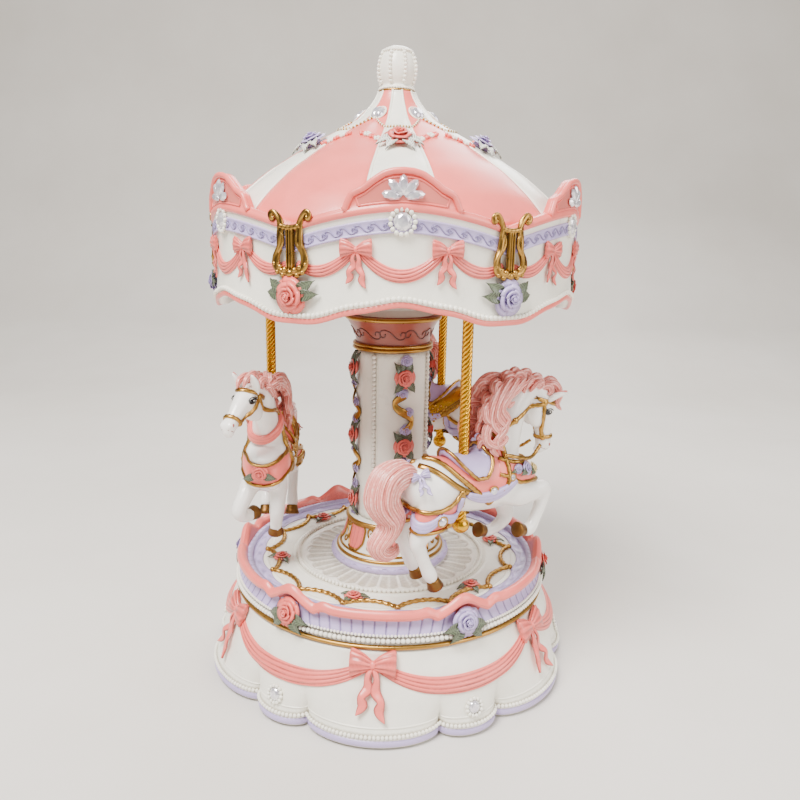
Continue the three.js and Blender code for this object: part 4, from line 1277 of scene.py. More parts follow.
def fan_of_stones(gems, at):
    """Five marquise stones that spread from one point."""
    for angle in (8, 49, 90, 131, 172):
        a = math.radians(angle)
        c, s = math.cos(a), math.sin(a)
        gems.merge(MARQUISE, at @ basis([3.6 * c, 3.6 * s, 0], [-3.9 * s, 3.9 * c, 0], [0, 0, 3.0],
                                        [4.1 * c, 4.1 * s, 0.3]))


def build_valance_swags():
    bows, swags = Build(), Build()

    def normal(a, z):
        return outward(a)

    def level(a):
        return valance_head(a) - 13.8
    for mid in sixths(CANOPY_TURN):
        for side in (-1, 1):
            az = mid + 11.7 * side
            bows.merge(BOW, standing(az, valance_radius(az) - 0.3, level(az) + 0.2, 5.9))
            end = (mid + 28.6 * side, level(mid + 28 * side))
            swag(swags, (az + 0.8 * side, level(az)), end, 4.8, valance_place, normal, (1.4, 2.3), 1.35, 22)
        start, end = [(a, level(a)) for a in (mid - 11.0, mid + 11.0)]
        swag(swags, start, end, 9.0, valance_place, normal, (1.4, 2.5), 1.45, 28)
    bows.piece("valance_bows", "carousel", PINK)
    swags.piece("valance_swags", "carousel", PINK)


def build_valance_ornaments():
    build_scroll_band()
    build_valance_swags()
    gems, settings, flowers, leaves = Build(), Build(), two_colours(), Build()
    for k, mid in enumerate(sixths(CANOPY_TURN)):
        r, head = valance_radius(mid), valance_head(mid)
        at = standing(mid, r + 0.5, head - 5.4)
        gems.merge(ROUND_GEM, scaled(at, 3.4))
        beads(settings, ring_on(at, 15, 4.4), 0.9)
        fan_of_stones(gems, standing(mid, r + 0.6, head + 3.0))
        corner = mid + 30
        at = standing(corner, valance_radius(corner) + 0.3, 181.2, tilt=-4)
        plant_rose(flowers["pink" if k % 2 else "lilac"], leaves, at, 6.5, 7.6, (176, 4, 150, 30), 4.2)
    gems.piece("valance_gems", "carousel", GEM, "gilt", smooth=False)
    settings.piece("valance_settings", "carousel", WHITE)
    pieces_by_colour(flowers, "valance_roses", "carousel")
    leaves.piece("valance_leaves", "carousel", DARK_LEAF)


def flat_sweep(points, height, wide, high, sides, section=None):
    """Tube along points of the XY plane, raised to one height."""
    path = np.column_stack([points, np.full(len(points), height)])
    return sweep(path, wide, high, sides=sides, hint=UP, section=section)


def lyre_arm(lyre, side):
    arm = curve_through([[0, -9.4], [3.6 * side, -9.2], [6.1 * side, -7.2], [6.3 * side, -4.0],
                         [5.0 * side, -0.4], [4.5 * side, 3.2], [4.1 * side, 6.4], [4.8 * side, 9.6],
                         [7.0 * side, 12.2], [8.5 * side, 11.4], [8.1 * side, 9.8], [7.2 * side, 10.4]], 5)
    t = np.linspace(0, 1, len(arm))
    leafy = 1 + 0.3 * np.abs(np.sin(8.5 * t))
    lyre.add(*flat_sweep(arm, 1.0, (1.35 - 0.5 * t) * leafy, 1.15 - 0.3 * t, 14,
                         lambda a, s: 1 + 0.14 * np.cos(3 * a + 22 * s)))
    leaf = curve_through([[5.6 * side, -2.2], [3.4 * side, 0.6], [3.0 * side, 3.4], [4.0 * side, 5.2]], 5)
    lyre.add(*flat_sweep(leaf, 1.4, np.linspace(1.0, 0.35, len(leaf)), 0.5, 10))
    points, faces = LYRE_BALL
    for x, y, size in ((2.2, -8.6, 1.25), (4.4, -7.6, 1.1), (5.6, -9.4, 0.95), (3.2, -10.4, 1.05),
                       (6.9, -6.4, 0.85)):
        lyre.add(points * size + [x * side, y, 1.4], faces)


def build_lyre(index, az):
    lyre = Build()
    for side in (-1, 1):
        lyre_arm(lyre, side)
    bar = [[x, 6.6 + 0.04 * x * x] for x in np.linspace(-4.6, 4.6, 11)]
    lyre.add(*flat_sweep(bar, 1.2, 1.05, 1.05, 10, lambda a, s: 1 + 0.15 * np.cos(30 * s + 2 * a)))
    plate = [[0, y] for y in np.linspace(-8.0, 7.4, 12)]
    lyre.add(*flat_sweep(plate, 1.0, 1.75, 0.75, 24, lambda a, s: 1 + 0.12 * np.cos(8 * a)))
    for x in (-1.1, 0, 1.1):
        lyre.add(*flat_sweep([[x, y] for y in np.linspace(-8.0, 7.2, 8)], 1.75, 0.3, 0.3, 8))
    points, faces = LYRE_BALL
    lyre.add(points * [1.7, 1.5, 1.2] + [0, -9.8, 1.5], faces)
    at = standing(az, valance_radius(az) + 0.2, 199.0)
    piece = Build().merge(lyre, at).piece(f"lyre_{index}_casting", "carousel", GILT, "gilt")
    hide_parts(f"lyre_{index}")


ROOF_LINE = curve_through([[76.8, 206], [76.0, 210.4], [70, 217.3], [64, 222.7], [57, 228.3], [50, 232.8],
                           [44, 236.6], [36.5, 241], [29.4, 244.8], [22.7, 248.3], [16.8, 252.4],
                           [11.5, 258.3], [9, 262.3], [8.4, 264]], 5)


def stripe_edge(r):
    """Half angle of a white stripe at radius r."""
    return 11.0 if r > 30 else 11.0 + (30 - r) * 0.12


def roof_height_at(r):
    return np.interp(-r, -ROOF_LINE[:, 0], ROOF_LINE[:, 1])


def roof_swell(az, r):
    off = abs(wrap(az - CANOPY_TURN))
    half = stripe_edge(r)
    fade = min(1.0, max(0.0, (r - 9) / 16)) * min(1.0, max(0.0, (76 - r) / 6))
    if off < half:
        return fade * 0.9 * (1 - (off / half) ** 2) + 0.25 * fade
    t = (off - half) / (30 - half)
    return fade * 1.3 * (1 - (1 - t) ** 2)


def build_roof_sector(kind):
    """All six stripes of one colour, each a curved closed sheet."""
    build = Build()
    for mid in sixths(CANOPY_TURN + (0 if kind == "white" else 30)):
        rows, cols = len(ROOF_LINE), 17
        grid = np.zeros((rows, cols, 3))
        for i, (r, z) in enumerate(ROOF_LINE):
            half = stripe_edge(r) if kind == "white" else 30 - stripe_edge(r)
            for j in range(cols):
                az = mid + half * (2 * j / (cols - 1) - 1)
                grid[i, j] = around(az, r, z + roof_swell(az, r))
        build.add(*shell(grid, np.array([0, 0, -2.2]), np.ones(rows * cols)))
    return build


def build_roof():
    white = build_roof_sector("white").piece("roof_white_stripes", "carousel", WHITE)
    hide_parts("canopy_roof")
    build_roof_sector("pink").piece("roof_pink_stripes", "carousel", PINK)
    ribs = Build()
    t = np.linspace(0, 1, len(ROOF_LINE))
    for mid in sixths(CANOPY_TURN):
        for side in (-1, 1):
            azs = [mid + side * stripe_edge(r) for r in ROOF_LINE[:, 0]]
            path = [around(az, r, z + roof_swell(az, r) + 0.15) for az, (r, z) in zip(azs, ROOF_LINE)]
            ribs.add(*sweep(path, 0.75 - 0.25 * t, 0.6 - 0.2 * t, sides=8))
    ribs.piece("roof_ribs", "carousel", WHITE)
    build_roof_ornaments()


SPRAY = ((6.6, 2.2), (8.6, 4.4), (10.6, 6.6), (12.6, 8.6), (14.4, 10.4))


def roof_matrix(az, r, size=1.0, lift=0.3, roll=0.0):
    """Local +Z leaves the roof squarely, local +Y runs up the slope."""
    z = roof_height_at(r) + roof_swell(az, r)
    rise = unit(around(az, r - 1, roof_height_at(r - 1)) - around(az, r + 1, roof_height_at(r + 1)))
    side = sideways(az)
    normal = np.cross(side, rise)
    x, y = rolled(side, rise, roll)
    return basis(x * size, y * size, normal * size, around(az, r, z) + normal * lift)


def flower_spray(at, pink, white):
    """Small five-petalled flowers that run up the roof from both sides of a rose."""
    for number, (x, y) in enumerate(SPRAY):
        for side in (-1, 1):
            c = at[:3, 3] + at[:3, 0] * side * x + at[:3, 1] * y
            az = math.degrees(math.atan2(c[0], -c[1]))
            here = at.copy()
            here[:3, 3] = roof_matrix(az, math.hypot(c[0], c[1]), lift=0.5)[:3, 3]
            beads(white if number % 2 else pink, ring_on(here, 5, 1.05), 0.74)


def roof_stone(mid, side, gems, white, gold):
    """Oval stone in its setting, with a bead garland that runs to the middle of the stripe."""
    az = mid + 27 * side
    gems.merge(OVAL_GEM, roof_matrix(az, 16.2, 3.4, 0.6, roll=90))
    setting = ring_on(roof_matrix(az, 16.2, lift=0.4), 24, 2.5, 3.8)
    white.add(*sweep(setting, 0.4, sides=8, closed=True))
    strand = []
    for s in np.linspace(0.02, 1.0, 22):
        r = 19.6 + 9.0 * math.sin(0.5 * math.pi * s)
        strand.append(roof_matrix(mid + side * 27 * (1 - s), r, lift=0.35)[:3, 3])
    beads(gold, strand[::2], 0.56)
    beads(white, strand[1::2], 0.56)


def build_roof_ornaments():
    flowers, leaves = two_colours(), Build()
    white, pink, gems, gold = Build(), Build(), Build(), Build()
    for k, mid in enumerate(sixths(CANOPY_TURN)):
        at = roof_matrix(mid, 40.5, lift=0.6)
        plant_rose(flowers["lilac" if k % 2 else "pink"], leaves, at, 5.8, 7.0, (204, -24, 236, -56), 3.4)
        flower_spray(at, pink, white)
        for side in (-1, 1):
            roof_stone(mid, side, gems, white, gold)
    pieces_by_colour(flowers, "roof_roses", "carousel")
    leaves.piece("roof_leaves", "carousel", LEAF)
    white.piece("roof_flowers", "carousel", WHITE)
    pink.piece("roof_buds", "carousel", PINK)
    gems.piece("roof_gems", "carousel", GEM, "gilt", smooth=False)
    gold.piece("roof_garland", "carousel", GILT, "gilt")


def build_finial():
    line = curve_through([[7.2, 264.5], [7.6, 265.4], [7.4, 266.4], [7.0, 267], [8.0, 269.5], [8.5, 272.4],
                          [8.4, 275], [7.6, 278.2], [6.5, 280.2], [6.5, 281], [5.2, 282.2], [2.8, 283],
                          [0.4, 283.3]], 5)
    profile = [[r - 0.1, z] for r, z in line] + [[0.1, 272], [2.2, 272], [2.2, 264.5]]
    barrel = Build().add(*lathe(profile, 96))
    for r, z, pitch, size in ((7.6, 265.4, 1.2, 0.62), (6.4, 280.8, 1.3, 0.66)):
        beads(barrel, bead_circle(r, z, pitch), size)
    for k in range(8):
        az = CANOPY_TURN + 22.5 + 45 * k
        rows = np.linspace(268.0, 279.6, 8)
        beads(barrel, [around(az, np.interp(z, line[:, 1], line[:, 0]) + 0.25, z) for z in rows], 0.84)
    piece = barrel.piece("finial_barrel", "carousel", WHITE)
    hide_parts("finial")
    hoop = Build().add(*lathe(bead_loop(7.5, 264.5, 0.5), 72))
    hoop.piece("finial_hoop", "carousel", GILT, "gilt")


# ---------------------------------------------------------------- horses: body
# A station is [forward, side, height, half thickness in profile, half width]; outward is -Y.
TORSO = [[-30, 0, 101.5, 2.5, 2.5], [-27.6, 0, 102, 7.6, 7], [-19, 0, 103, 11.8, 10.4],
         [-8, 0, 101.6, 11.2, 10], [4, 0, 100.2, 12.2, 10.4], [15, 0, 100.4, 13.2, 10.8],
         [25, 0, 100.6, 12.6, 10], [32, 0, 101, 9, 7.8], [36.4, 0, 100.8, 3, 3]]
NECK = [[15, 0, 103, 11, 8.4], [20, 0, 111, 10.6, 7.6], [23.5, 0, 120, 8.8, 6.2], [28, 0, 130, 7.6, 5.2],
        [34, 0, 137, 6.4, 4.8], [39, 0, 139.6, 5, 4.4]]
HEAD = [[38.5, 0, 141, 4.2, 3.8], [42, 0, 136, 5.8, 4.5], [44.4, 0, 130, 6.6, 4.7], [46, 0, 124, 4.8, 3.8],
        [46.4, 0, 118, 3.7, 3.1], [46.6, 0, 113.4, 3.4, 3.2], [46, 0, 110.6, 2, 2]]
HIND = [[-14, 4.4, 103, 10, 5.6], [-18, 6.2, 94.5, 8.8, 5.4], [-23, 6.8, 87.5, 6, 4.2],
        [-27, 6.8, 82.6, 3.8, 3.2], [-25.6, 6.8, 78, 3.1, 2.8], [-22.6, 6.8, 71, 2.8, 2.6],
        [-20.6, 6.8, 67, 3.2, 3], [-19, 6.8, 64, 2.8, 2.7]]
RAISED = [[18.7, 4.6, 99, 9, 5], [25.7, 6.6, 94.4, 6.6, 4.6], [33.7, 6.9, 93.6, 4.7, 3.9],
          [40.1, 6.9, 94, 3.9, 3.5], [39.7, 6.9, 88.6, 3.3, 3.1], [36.7, 6.9, 81, 2.8, 2.6],
          [33.5, 6.9, 76.2, 3.2, 3], [30, 6.9, 75.8, 2.8, 2.7]]
FOLDED = [[21, 4.6, 99, 9, 5], [26.4, 6.4, 90.6, 6.4, 4.5], [30, 6.9, 82.6, 4.3, 3.7],
          [30.8, 6.9, 77.6, 3.7, 3.4], [27, 6.9, 74, 3, 2.8], [22, 6.9, 72.4, 2.7, 2.5],
          [18.8, 6.9, 72.8, 3, 2.8]]


def limb(stations, side=1, sides=20, steps=5):
    """Closed tube with an oval section at each station; it melts into its neighbours later."""
    line = curve_through([[s[0], s[1] * side, s[2], s[3], s[4]] for s in stations], steps)
    path = line[:, :3]
    rows = []
    for p, t, thick, wide in zip(path, row_units(np.gradient(path, axis=0)), line[:, 3], line[:, 4]):
        across = unit(np.array([0, 1.0, 0]) - t * t[1])
        up = np.cross(t, across)
        rows.append([p + up * thick * math.cos(a) + across * wide * math.sin(a) for a in turns(sides)])
    faces = grid_faces(len(rows), sides, wrap_cols=True)
    faces += [tuple(range(sides)), tuple(range((len(rows) - 1) * sides, len(rows) * sides))[::-1]]
    return np.array(rows).reshape(-1, 3), faces


NOD_CENTRE = (33, 138)
TURN_X = 30
NECK_Z = 112


def turned_head(points, pose):
    """Draws the head back a little, nods it about the poll and swings it outward; the chest stays."""
    nod, turn, tall = pose
    p = np.array(points, float)
    x0, z0 = NOD_CENTRE
    high = np.clip((p[:, 2] - 104) / 5, 0, 1)
    drawn = np.clip((p[:, 0] - 20) / 20, 0, 1)
    share = np.clip((p[:, 0] - TURN_X) / 10, 0, 1)
    share = share * share * (3 - 2 * share) * high
    p[:, 0] -= 4.0 * drawn * high
    a = np.radians(nod) * share
    ahead, above = p[:, 0] - x0, p[:, 2] - z0
    x = ahead * np.cos(a) - above * np.sin(a) + x0 - TURN_X
    z = ahead * np.sin(a) + above * np.cos(a) + z0
    z = np.where(z > NECK_Z, NECK_Z + (z - NECK_Z) * tall, z)
    b = -np.radians(turn) * share
    return np.stack([x * np.cos(b) - p[:, 1] * np.sin(b) + TURN_X, x * np.sin(b) + p[:, 1] * np.cos(b), z], 1)


def lump(centre, radii, rings=10, sides=16):
    points, faces = ball_points(rings, sides)
    return points * np.array(radii) + np.array(centre), faces


LOW_RAISED = [[18.7, 4.6, 99, 9, 5], [25, 6.8, 93, 6.4, 4.6], [31, 9.5, 87, 4.6, 3.8],
              [33.6, 11.4, 82.2, 3.9, 3.5], [31.6, 10.6, 78.8, 3.2, 3.0], [28.6, 8.8, 77.4, 2.9, 2.7],
              [26.4, 7.4, 77, 3.1, 2.9]]
LOW_FOLDED = [[21, 4.6, 99, 9, 5], [24.6, 5.4, 92, 6.2, 4.4], [27.4, 5.2, 85, 4.4, 3.7],
              [28, 4.8, 79, 3.7, 3.4], [26.6, 4.2, 73.8, 3.0, 2.8], [25.6, 3.8, 70.8, 3.2, 3.0]]
LUMPS = [((-16.5, 4.6, 100.5), (10.6, 6.6, 11.2)), ((23.5, 4.4, 101), (8.6, 6, 11)),
         ((31.5, 3.6, 98), (5.4, 4.2, 7)), ((41, 2.7, 127.6), (5, 2.6, 6)),
         ((46.2, 3.1, 131), (3.2, 1.6, 3)), ((48.1, 1.6, 113.4), (2.2, 1.6, 2.5)),
         ((-27.2, 6.8, 82.8), (2.7, 2.6, 3.4))]


def horse_shells(low):
    """All the overlapping volumes that are melted into one body; low drops the forelegs."""
    shells = [limb(TORSO, sides=28), limb(NECK, sides=24), limb(HEAD, sides=24)]
    for side in (-1, 1):
        shells.append(limb(HIND, side))
        shells += [lump((x, y * side, z), radii) for (x, y, z), radii in LUMPS]
    shells.append(lump((44.8, 0, 110.8), (2.7, 2.5, 1.8)))
    shells.append(limb(LOW_RAISED if low else RAISED, -1))
    shells.append(limb(LOW_FOLDED if low else FOLDED, 1))
    return shells


def melted(shells, voxel, rounds, bend):
    """One smooth skin over overlapping closed shells, as points and faces."""
    build = Build()
    for points, faces in shells:
        build.add(points, faces)
    points, faces, _ = build.arrays()
    mesh = bpy.data.meshes.new("melt")
    mesh.from_pydata((bend(points) * MM).tolist(), [], faces)
    obj = bpy.data.objects.new("melt", mesh)
    bpy.context.scene.collection.objects.link(obj)
    remesh = obj.modifiers.new("melt", "REMESH")
    remesh.mode = "VOXEL"
    remesh.voxel_size = voxel * MM
    done = obj.evaluated_get(bpy.context.evaluated_depsgraph_get()).to_mesh()
    count = len(done.vertices)
    points = np.zeros(count * 3)
    done.vertices.foreach_get("co", points)
    points = points.reshape(-1, 3) / MM
    edges = np.zeros(len(done.edges) * 2, int)
    done.edges.foreach_get("vertices", edges)
    edges = edges.reshape(-1, 2)
    faces = [tuple(p.vertices) for p in done.polygons]
    bpy.data.objects.remove(obj)
    bpy.data.meshes.remove(mesh)
    degree = np.bincount(edges.ravel(), minlength=count)[:, None]

    def neighbours(p):
        total = np.zeros_like(p)
        np.add.at(total, edges[:, 0], p[edges[:, 1]])
        np.add.at(total, edges[:, 1], p[edges[:, 0]])
        return total / np.maximum(degree, 1)
    for k in range(rounds):
        points = points + (0.6 if k % 2 == 0 else -0.35) * (neighbours(points) - points)
    points = points + 0.5 * (neighbours(points) - points)
    return points, faces


class Horse:
    """One horse in its own frame, with everything that it wears."""

    def __init__(self, index, pose, low):
        self.index, self.pose, self.low = index, pose, low
        az = HORSE_AZIMUTH[index - 1]
        lift = foot_of(f"ball_{index}") - foot_of("ball_1")
        self.place = basis(sideways(az), -outward(az), UP, around(az, POLE_CIRCLE, lift))
        self.body = f"horse_{index}_set"
        points, faces = melted(horse_shells(low), 0.72, 10, lambda p: turned_head(p, pose))
        self.tree = BVHTree.FromPolygons(points.tolist(), faces)
        body = Build().add(points, faces, self.hollows(points, faces))
        piece = self.finish(body, "body", HORSE_WHITE)
        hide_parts(f"horse_{index}")

    @staticmethod
    def hollows(points, faces):
        """Crown per point: creases of the skin go dark, as patina and painted shade."""
        corner = np.array([f[:3] for f in faces])
        normal = np.cross(points[corner[:, 1]] - points[corner[:, 0]],
                          points[corner[:, 2]] - points[corner[:, 0]])
        normals = np.zeros_like(points)
        total, degree = np.zeros_like(points), np.zeros(len(points))
        for k in range(3):
            np.add.at(normals, corner[:, k], normal)
            np.add.at(total, corner[:, k], points[corner[:, (k + 1) % 3]])
            np.add.at(degree, corner[:, k], 1)
        mean = total / np.maximum(degree, 1)[:, None]
        dent = np.einsum("ij,ij->i", mean - points, row_units(normals))
        return np.clip(1 - np.maximum(dent - 0.03, 0) * 6, 0.35, 1)

    def finish(self, build, name, material, slot="painted_resin", smooth=True):
        placed = Build().merge(build, self.place)
        return placed.piece(f"horse_{self.index}_{name}", self.body, material, slot, smooth)

    # --- places on the skin
    def hit(self, origin, towards, lift):
        ray = unit(np.asarray(towards, float))
        where, normal, _, _ = self.tree.ray_cast(Vector(origin), Vector(ray))
        if where is None:
            return np.asarray(origin, float) + ray * 30, -ray
        where, normal = np.array(where), np.array(normal)
        return where + normal * lift, normal

    def girth(self, s, theta, lift=0.3, centre=101.0):
        """On the barrel at forward s: theta 0 is the top, 90 the outward side."""
        a = math.radians(theta)
        ray = np.array([0, -math.sin(a), math.cos(a)])
        return self.hit(np.array([s, 0, centre]) + ray * 40, -ray, lift)

    def chest(self, phi, z, lift=0.3, centre=17.0):
        """Round the breast: phi 0 is straight ahead, 90 the outward side."""
        a = math.radians(phi)
        ray = np.array([math.cos(a), -math.sin(a), 0])
        return self.hit(np.array([centre, 0, z]) + ray * 45, -ray, lift)

    def rump(self, phi, z, lift=0.3, centre=-4.0):
        a = math.radians(phi)
        ray = np.array([-math.cos(a), -math.sin(a), 0])
        return self.hit(np.array([centre, 0, z]) + ray * 45, -ray, lift)

    def flank(self, s, z, side=-1, lift=0.3):
        """Straight in from one side in the profile plane; the head's turn is allowed for."""
        p = turned_head([[s, side * 4.0, z]], self.pose)[0]
        ray = turned_head([[s, side * 5.0, z]], self.pose)[0] - p
        ray = unit(np.array([ray[0], ray[1], 0]))
        return self.hit(p + ray * 30, -ray, lift)

    def patch(self, ray, rows, cols, thick):
        """Cloth laid on the skin by ray(u, v) with u, v in 0-1; returns a shell and its grid."""
        grid, normals = np.zeros((rows, cols, 3)), np.zeros((rows, cols, 3))
        for i in range(rows):
            for j in range(cols):
                grid[i, j], normals[i, j] = ray(i / (rows - 1), j / (cols - 1))
        return shell(grid, -normals * (thick + 0.5), np.ones((rows, cols))), grid, normals


def drape(path, normals, wide, high, folds=0, closed=False, sides=10, twist=0.0):
    """Cord or cloth band along a path on a surface, flat side to the surface normal."""
    path, normals = np.asarray(path, float), np.asarray(normals, float)
    n = len(path)
    tangents = row_units(np.roll(path, -1, 0) - np.roll(path, 1, 0) if closed else np.gradient(path, axis=0))
    side = row_units(np.cross(tangents, normals))
    sides = 8 * folds if folds else sides
    angles = turns(sides)
    wide, high = column_of(wide, n), column_of(high, n)
    rib = np.ones((n, sides))
    if folds:
        fold = 0.7 + 0.3 * np.abs(np.cos(0.5 * folds * math.pi * np.cos(angles)))
        rib = np.broadcast_to(np.where(np.sin(angles) > 0, fold, 1.0), (n, sides))
    if twist:
        run = np.concatenate([[0], np.cumsum(np.linalg.norm(np.diff(path, axis=0), axis=1))])[:, None]
        rib = 1 + 0.16 * np.cos(2 * angles[None, :] + run * twist)
    across = wide * np.cos(angles) * (rib if twist else 1)
    points, faces = tube(path, side, np.cross(side, tangents), across, high * np.sin(angles) * rib, closed)
    spread = np.ptp(rib)
    level = (rib - rib.min()) / spread if spread > TINY else np.ones((n, sides))
    return points, faces, (0.25 + 0.75 * level).reshape(-1)


def lock(points, radius, flat=0.72, strands=9, twist=1.4, hint=(0, -1, 0)):
    """A lock of moulded hair: a tapering S with fine strands raised along it."""
    path = curve_through(points, 6)
    t = np.linspace(0, 1, len(path))
    taper = radius * np.clip(np.minimum(0.5 + 2.4 * t, 1.12 * (1 - t) ** 0.6 + 0.06), 0.08, 1.0)

    def section(angle, share):
        run = twist * TAU * share * 0.5
        return 1 + 0.12 * np.cos(strands * angle + run * 2) + 0.07 * np.cos((strands // 2) * angle - run)
    points, faces, crown = sweep(path, taper, taper * flat, sides=strands * 4, hint=hint, section=section)
    return points, faces, 0.05 + 0.95 * crown


# ---------------------------------------------------------------- horses: hair
MANE_SIDE = [
    ([[22, -3, 141], [15, -5.4, 141], [9.8, -7, 135.6], [8.8, -7.6, 128.6], [11.4, -8.4, 122.6],
      [8.6, -8.6, 117], [10.8, -9, 113.4]], 3.1),
    ([[26, -2.4, 142], [19, -5.4, 143.0], [13.6, -7.6, 138.6], [11.8, -8.6, 131.6], [14.6, -9.2, 125.6],
      [11.6, -9.6, 120], [14, -10, 116]], 3.0),
    ([[28, -2.4, 141.6], [22.4, -5.8, 143.4], [17.4, -7.8, 139.6], [15.0, -8.8, 134], [17.4, -9.2, 128.6],
      [14.8, -9.6, 124], [17, -9.8, 119.6]], 2.7),
    ([[31, -2.4, 141], [27, -5.6, 143], [22, -7.0, 141], [19, -7.8, 137.6], [20.4, -8.2, 134.6],
      [22, -8.4, 136]], 2.5),
    ([[36, -2, 140.6], [34, -4.8, 143.0], [30.4, -5.8, 142.2], [29.4, -6.2, 139.8],
      [31.2, -6.2, 138.4]], 2.2),
    ([[41, -2, 139.6], [40.8, -4.4, 142.2], [37.8, -5.2, 141.6], [36.8, -5.4, 139.4],
      [38.4, -5.4, 138.4]], 2.0),
    ([[14, -4, 124], [8.4, -7, 126], [7.4, -8.2, 121], [10.4, -9, 118.4], [13.6, -9.4, 120.6],
      [12.6, -9.6, 123]], 2.3),
    ([[13, -4, 133], [7.8, -6, 134], [7.6, -7.4, 129.6], [11, -8.4, 128], [13.4, -8.8, 130.6]], 2.3),
    ([[18, -4, 140.6], [12.6, -5, 142.4], [12.4, -6.6, 139], [15.6, -8, 137.6], [17.8, -8.4, 140]], 2.3),
]
MANE_TOP = [(47.4, 138.4, 2.6), (42, 141.6, 3.0), (36, 143.4, 3.3), (29.6, 144, 3.5), (23.4, 143, 3.6),
            (17.6, 139.8, 3.6), (13.2, 134.8, 3.4), (11, 129, 3.2), (10, 123, 3.0), (10.4, 117.4, 2.7)]
FORELOCK = [
    ([[42, -1, 139], [49, -1.8, 140.4], [52.4, -2.2, 136], [51.4, -2.2, 131.6], [53.6, -2.6, 128.6]], 2.1),
    ([[42, 1, 139], [49.6, 1.4, 141.4], [53.4, 1.4, 136.6], [52, 1, 132], [53.8, 0.4, 130]], 2.1),
]
TAIL_LINE = [[-23, 0, 106], [-30, 0, 110], [-37, 0, 108], [-39.6, 0, 100], [-35.4, 0, 92], [-37, 0, 86],
             [-41.6, 0, 81], [-38.5, 0, 77.2], [-33.4, 0, 77.6], [-32.4, 0, 80.4]]
TAIL_SPREAD = ([0, 0.12, 0.34, 0.52, 0.68, 0.82, 1], [1.2, 4.6, 5.6, 3.6, 3.2, 2.6, 0.9])
LOW_TAIL = ([0, 0.15, 0.4, 1], [1.3, 1.5, 1.1, 1])
TAIL_LOCKS, TAIL_RING = 17, 13


def curl(x, z, size, y, sense=1):
    """Coiled lock that stands on the crest of the neck."""
    t = np.linspace(0, 1, 11)
    a = math.radians(200) - sense * math.radians(330) * t
    r = size * (1.0 - 0.66 * t)
    return np.stack([x + r * np.cos(a), y + 1.6 * t * np.sign(y or 1), z + r * np.sin(a)], 1)


def dress_mane(horse, material):
    """Coiled locks on the crest, a forelock, and waved locks down both sides of the neck."""
    mane = Build()
    for k, (x, z, size) in enumerate(MANE_TOP):
        if horse.low and k == 0:
            continue
        for y in (-2.6, 0.0, 2.6):
            at = curl(x + 0.7 * y, z - 0.18 * abs(y), size, y, 1 if (k + int(y)) % 3 else -1)
            mane.add(*lock(turned_head(at, horse.pose)[::2], size * 0.62, 0.8, 7))
    for points, radius in FORELOCK:
        mane.add(*lock(turned_head(points, horse.pose)[:4 if horse.low else None], radius))
    for side in (1, -1):
        for k, (points, radius) in enumerate(MANE_SIDE):
            p = np.array(points, float)
            p[:, 1] *= side
            low = np.clip((141 - p[:, 2]) / 8, 0, 1)
            middle = p[2:, 0].mean()
            p[:, 0] += low * (1.8 - 0.45 * max(middle - 7, 0) + 0.5 * (p[:, 0] - middle))
            if side < 0:
                p[:, 2] += 0.9 * math.sin(2.2 * k)
            mane.add(*lock(turned_head(p, horse.pose), radius, strands=11, twist=2.0 * side))
    horse.finish(mane, "mane", material)


def dress_tail(horse, material):
    """Locks round a curved line, the outer ones in a ring and a few inside."""
    tail = Build()
    line = curve_through(TAIL_LINE, 6)
    t = np.linspace(0, 1, len(line))
    across = np.array([0, 1.0, 0])
    up = np.cross(row_units(np.gradient(line, axis=0)), across)
    spread = np.interp(t, *TAIL_SPREAD) * (np.interp(t, *LOW_TAIL) if horse.low else 1.0)
    for k in range(TAIL_LOCKS):
        a = TAU * k / TAIL_RING + 2.2 * t
        ring = spread * (1.0 if k < TAIL_RING else 0.35) * (1 + 0.14 * np.sin(5 * t + 1.7 * k))
        path = line + (np.cos(a) * ring)[:, None] * up * 0.85 + (np.sin(a) * ring)[:, None] * across
        last = len(path) - (k * 5) % 8
        tail.add(*lock(path[:last:3], 2.3, strands=10, twist=3.0))
    horse.finish(tail, "tail", material)


# ---------------------------------------------------------------- horses: head and hooves
def paint_eye(horse, side, dark, glint):
    """Eye with a glint, a brow and three lashes."""
    eye, normal = horse.flank(46.2, 128.4, side, 0.0)
    m = facing(eye, normal)

    def on_eye(points):
        return np.array(points) @ m[:3, :3].T + m[:3, 3]
    dark.add(*lump((0, 0, 0.1), (1.9, 1.15, 0.5), 8, 16), matrix=m)
    glint.add(*lump((0.45, 0.4, 0.55), (0.34, 0.28, 0.16), 6, 8), matrix=m)
    for angle, length in ((150, 3.8), (128, 3.3), (172, 3.4)):
        a = math.radians(angle if side < 0 else 180 - angle)
        lash = [[math.cos(a) * q * length, 0.5 + math.sin(a) * q * length * 0.6, 0.45 - 0.2 * q]
                for q in (0.3, 0.55, 0.8, 1.0)]
        dark.add(*sweep(on_eye(lash), [0.34, 0.28, 0.2, 0.08], sides=6, hint=normal))
    brow = [[math.cos(a) * 2.4, math.sin(a) * 1.65 + 0.2, 0.3] for a in np.linspace(0.4, 2.9, 9)]
    dark.add(*sweep(on_eye(brow), 0.22, sides=6, hint=normal))


